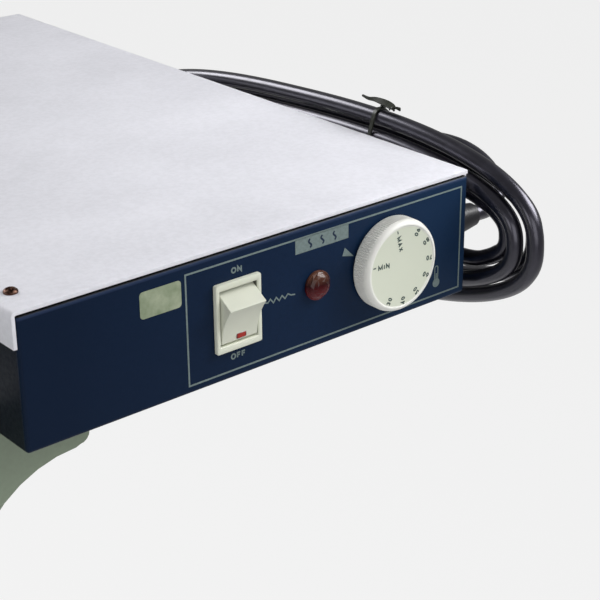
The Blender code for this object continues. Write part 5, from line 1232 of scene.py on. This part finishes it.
def cover_rows(pucker_depth, crown):
    """The cover as rings of the board's outline, from the hem's inside round it, up the wall and over a quarter round
    to the top, then shrinking to the board's spine. The wall is gathered inwards by two sine waves that fade with
    height, and the top sinks towards the sides by the square of the distance from the middle."""
    rings = [*HEM_RINGS, *((WALL_INSET, COVER_HEM + (COVER_TOP - COVER_HEM) * share) for share in WALL_SHARES)]
    for turn in np.radians(np.linspace(0, 90, 6)):
        inset = (COVER_ROUND * (1 - math.cos(turn))) / MM + ROUND_INSET
        rings.append((inset, COVER_TOP - COVER_ROUND + COVER_ROUND * math.sin(turn)))
    rings += [(inset, COVER_TOP) for inset in TOP_INSETS]
    rows = []
    for inset, height in rings:
        ring = board_outline(inset * MM)
        turn = np.arange(len(ring)) / len(ring) * math.tau
        pucker = sum(np.sin(turn * waves + start) * share for waves, start, share in PUCKERS)
        share = max(0.0, 1 - (height - COVER_HEM) / (PUCKER_RISE * (COVER_TOP - COVER_HEM)))
        outward = ring - (np.mean(ring[:, 0]), BOARD_MIDDLE)
        outward /= np.linalg.norm(outward, axis=1, keepdims=True)
        ring = ring + outward * (pucker_depth * share * (pucker - 1.0) * 0.5)[:, None]
        rows.append(np.column_stack([ring, np.full(len(ring), height)]))
    rim = rows[-1]
    spine = np.clip(rim[:, 0], SPINE_LEFT, SPINE_RIGHT)
    spine = np.column_stack([spine, np.full(len(rim), BOARD_MIDDLE), rim[:, 2]])
    rows = np.array(rows + [rim * (1 - share) + spine * share for share in SPINE_SHARES])
    swell = np.clip(1 - (np.abs(rows[:, :, 1] - BOARD_MIDDLE) / BOARD_HALF) ** 2, 0, 1)
    level = np.clip((rows[:, :, 2] - (COVER_TOP - CROWN_START)) / CROWN_START, 0, 1)
    rows[:, :, 2] += crown * swell * level - crown * level
    return rows


class TABLE_OT_board(Operator):
    """The suction board: its padded cloth cover, the tub and the heated plate"""

    bl_idname = "table.board"
    bl_label = "Suction board"

    def execute(self, context):
        sizes, colours = context.scene.table_sizes, context.scene.table_colours
        cloth = Finish("board_cloth", tuple(colours.cloth), 0.82, Sheen_Weight=0.25)
        across, along, _ = cloth.axes()
        weave = (across * (math.tau / THREAD)).sine() * 0.5 + (along * (math.tau / THREAD)).sine() * 0.5
        mottle = cloth.noise(9.0, 3.0).ramp(0.35, 0.7)
        cloth.set("Base Color", cloth.blend(mottle * 0.45, tuple(colours.cloth), srgb(196, 199, 201)))
        cloth.set("Roughness", 0.78 + mottle * 0.12)
        cloth.bump(weave * 0.5 + cloth.noise(900.0, 2.0) * 0.5, 0.00012, 0.45)
        cover = Surfaces().grid(cover_rows(sizes.cover_pucker, sizes.cover_crown), caps=False)
        inside = ("board_cover", "board_pad")
        skin = cover.piece("board_cover_cloth", cloth, smooth=0, instead_of=inside, slot="board_cloth")
        joined(skin.data, 1e-6)
        skin.data.shade_smooth()

        dress("board_tub", grey_green(colours), 0.8 * MM)
        dress("suction_plate", plated("aluminium_sheet", srgb(205, 207, 208), 0.3), 0.0)
        paint(plated("heater_steel", srgb(150, 148, 144), 0.42), "plate_heater")
        paint(plated("copper_tube", srgb(184, 115, 80), 0.3), "capillary_tube")
        dress("wiring_conduit", plastic("conduit_plastic", srgb(28, 28, 31), 0.5), 0.3 * MM)
        return {"FINISHED"}


# Stand
class TABLE_OT_stand(Operator):
    """The scissor stand: cheeks and rails, both leg frames, bolts, knob, feet and the pedal"""

    bl_idname = "table.stand"
    bl_label = "Scissor stand"

    def execute(self, context):
        grey, steel = grey_green(context.scene.table_colours), zinc()
        black, soles = moulded_black(), foot_rubber()
        for side in ("front", "rear"):
            dress(f"cheek_{side}", grey, 0.6 * MM, 34.0, 3)
            dress(f"rail_{side}", steel, 0.4 * MM)
            for bolt in ("board_bolt", "box_bolt", "pivot_bolt", "scissor_bolt"):
                dress(f"{bolt}_{side}", steel, 0.35 * MM)
            for legs in ("wide", "narrow"):
                dress(f"{legs}_leg_{side}", grey, 0.0)
                dress(f"{legs}_foot_cap_{side}", soles, 0.8 * MM, 34.0, 3)
            dress(f"slider_{side}", black, 0.6 * MM)
        for bar in ("wide_foot_bar", "narrow_foot_bar", "narrow_brace"):
            dress(bar, grey, 0.0)
        for node, finish, bevel in (
            ("clamp_knob", black, 1.2 * MM),
            ("pedal_base", black, 1.0 * MM),
            ("foot_pedal", soles, 1.0 * MM),
        ):
            dress(node, finish, bevel, 34.0, 3)
        return {"FINISHED"}


# Suction fan
class TABLE_OT_fan(Operator):
    """The suction fan under the board: scroll, motor, impeller and grille"""

    bl_idname = "table.fan"
    bl_label = "Suction fan"

    def execute(self, context):
        black = moulded_black()
        dress("fan_scroll", grey_green(context.scene.table_colours), 0.7 * MM)
        dress("duct_gasket", foot_rubber(), 0.5 * MM)
        dress("fan_motor", black, 0.8 * MM, 34.0, 3)
        dress("fan_impeller", black, 0.2 * MM)
        dress("exhaust_grille", black, 0.3 * MM)
        dress("motor_lead", black, 0.0)
        return {"FINISHED"}


# Panel and registration
class TABLE_PT_panel(Panel):
    """The table's colours, its sizes and one button for each of its parts"""

    bl_idname = "TABLE_PT_panel"
    bl_label = "Ironing Table"
    bl_space_type = "VIEW_3D"
    bl_region_type = "UI"
    bl_category = "Ironing Table"

    def draw(self, context):
        layout = self.layout
        for settings in (context.scene.table_sizes, context.scene.table_colours):
            box = layout.box()
            for name in settings.__annotations__:
                box.prop(settings, name)
        for step in STEPS:
            layout.operator(step.bl_idname)


STEPS = (
    TABLE_OT_stage,
    TABLE_OT_control_box,
    TABLE_OT_iron_rest,
    TABLE_OT_switch,
    TABLE_OT_lamp,
    TABLE_OT_dial,
    TABLE_OT_cord,
    TABLE_OT_board,
    TABLE_OT_stand,
    TABLE_OT_fan,
)
CLASSES = (TableSizes, TableColours, *STEPS, TABLE_PT_panel)


def register():
    for cls in CLASSES:
        bpy.utils.register_class(cls)
    bpy.types.Scene.table_sizes = PointerProperty(type=TableSizes)
    bpy.types.Scene.table_colours = PointerProperty(type=TableColours)


def unregister():
    del bpy.types.Scene.table_colours
    del bpy.types.Scene.table_sizes
    for cls in reversed(CLASSES):
        bpy.utils.unregister_class(cls)


def main():
    """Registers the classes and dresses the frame."""
    register()
    for step in (
        bpy.ops.table.stage,
        bpy.ops.table.control_box,
        bpy.ops.table.iron_rest,
        bpy.ops.table.switch,
        bpy.ops.table.lamp,
        bpy.ops.table.dial,
        bpy.ops.table.cord,
        bpy.ops.table.board,
        bpy.ops.table.stand,
        bpy.ops.table.fan,
    ):
        step()


if __name__ == "__main__":
    main()
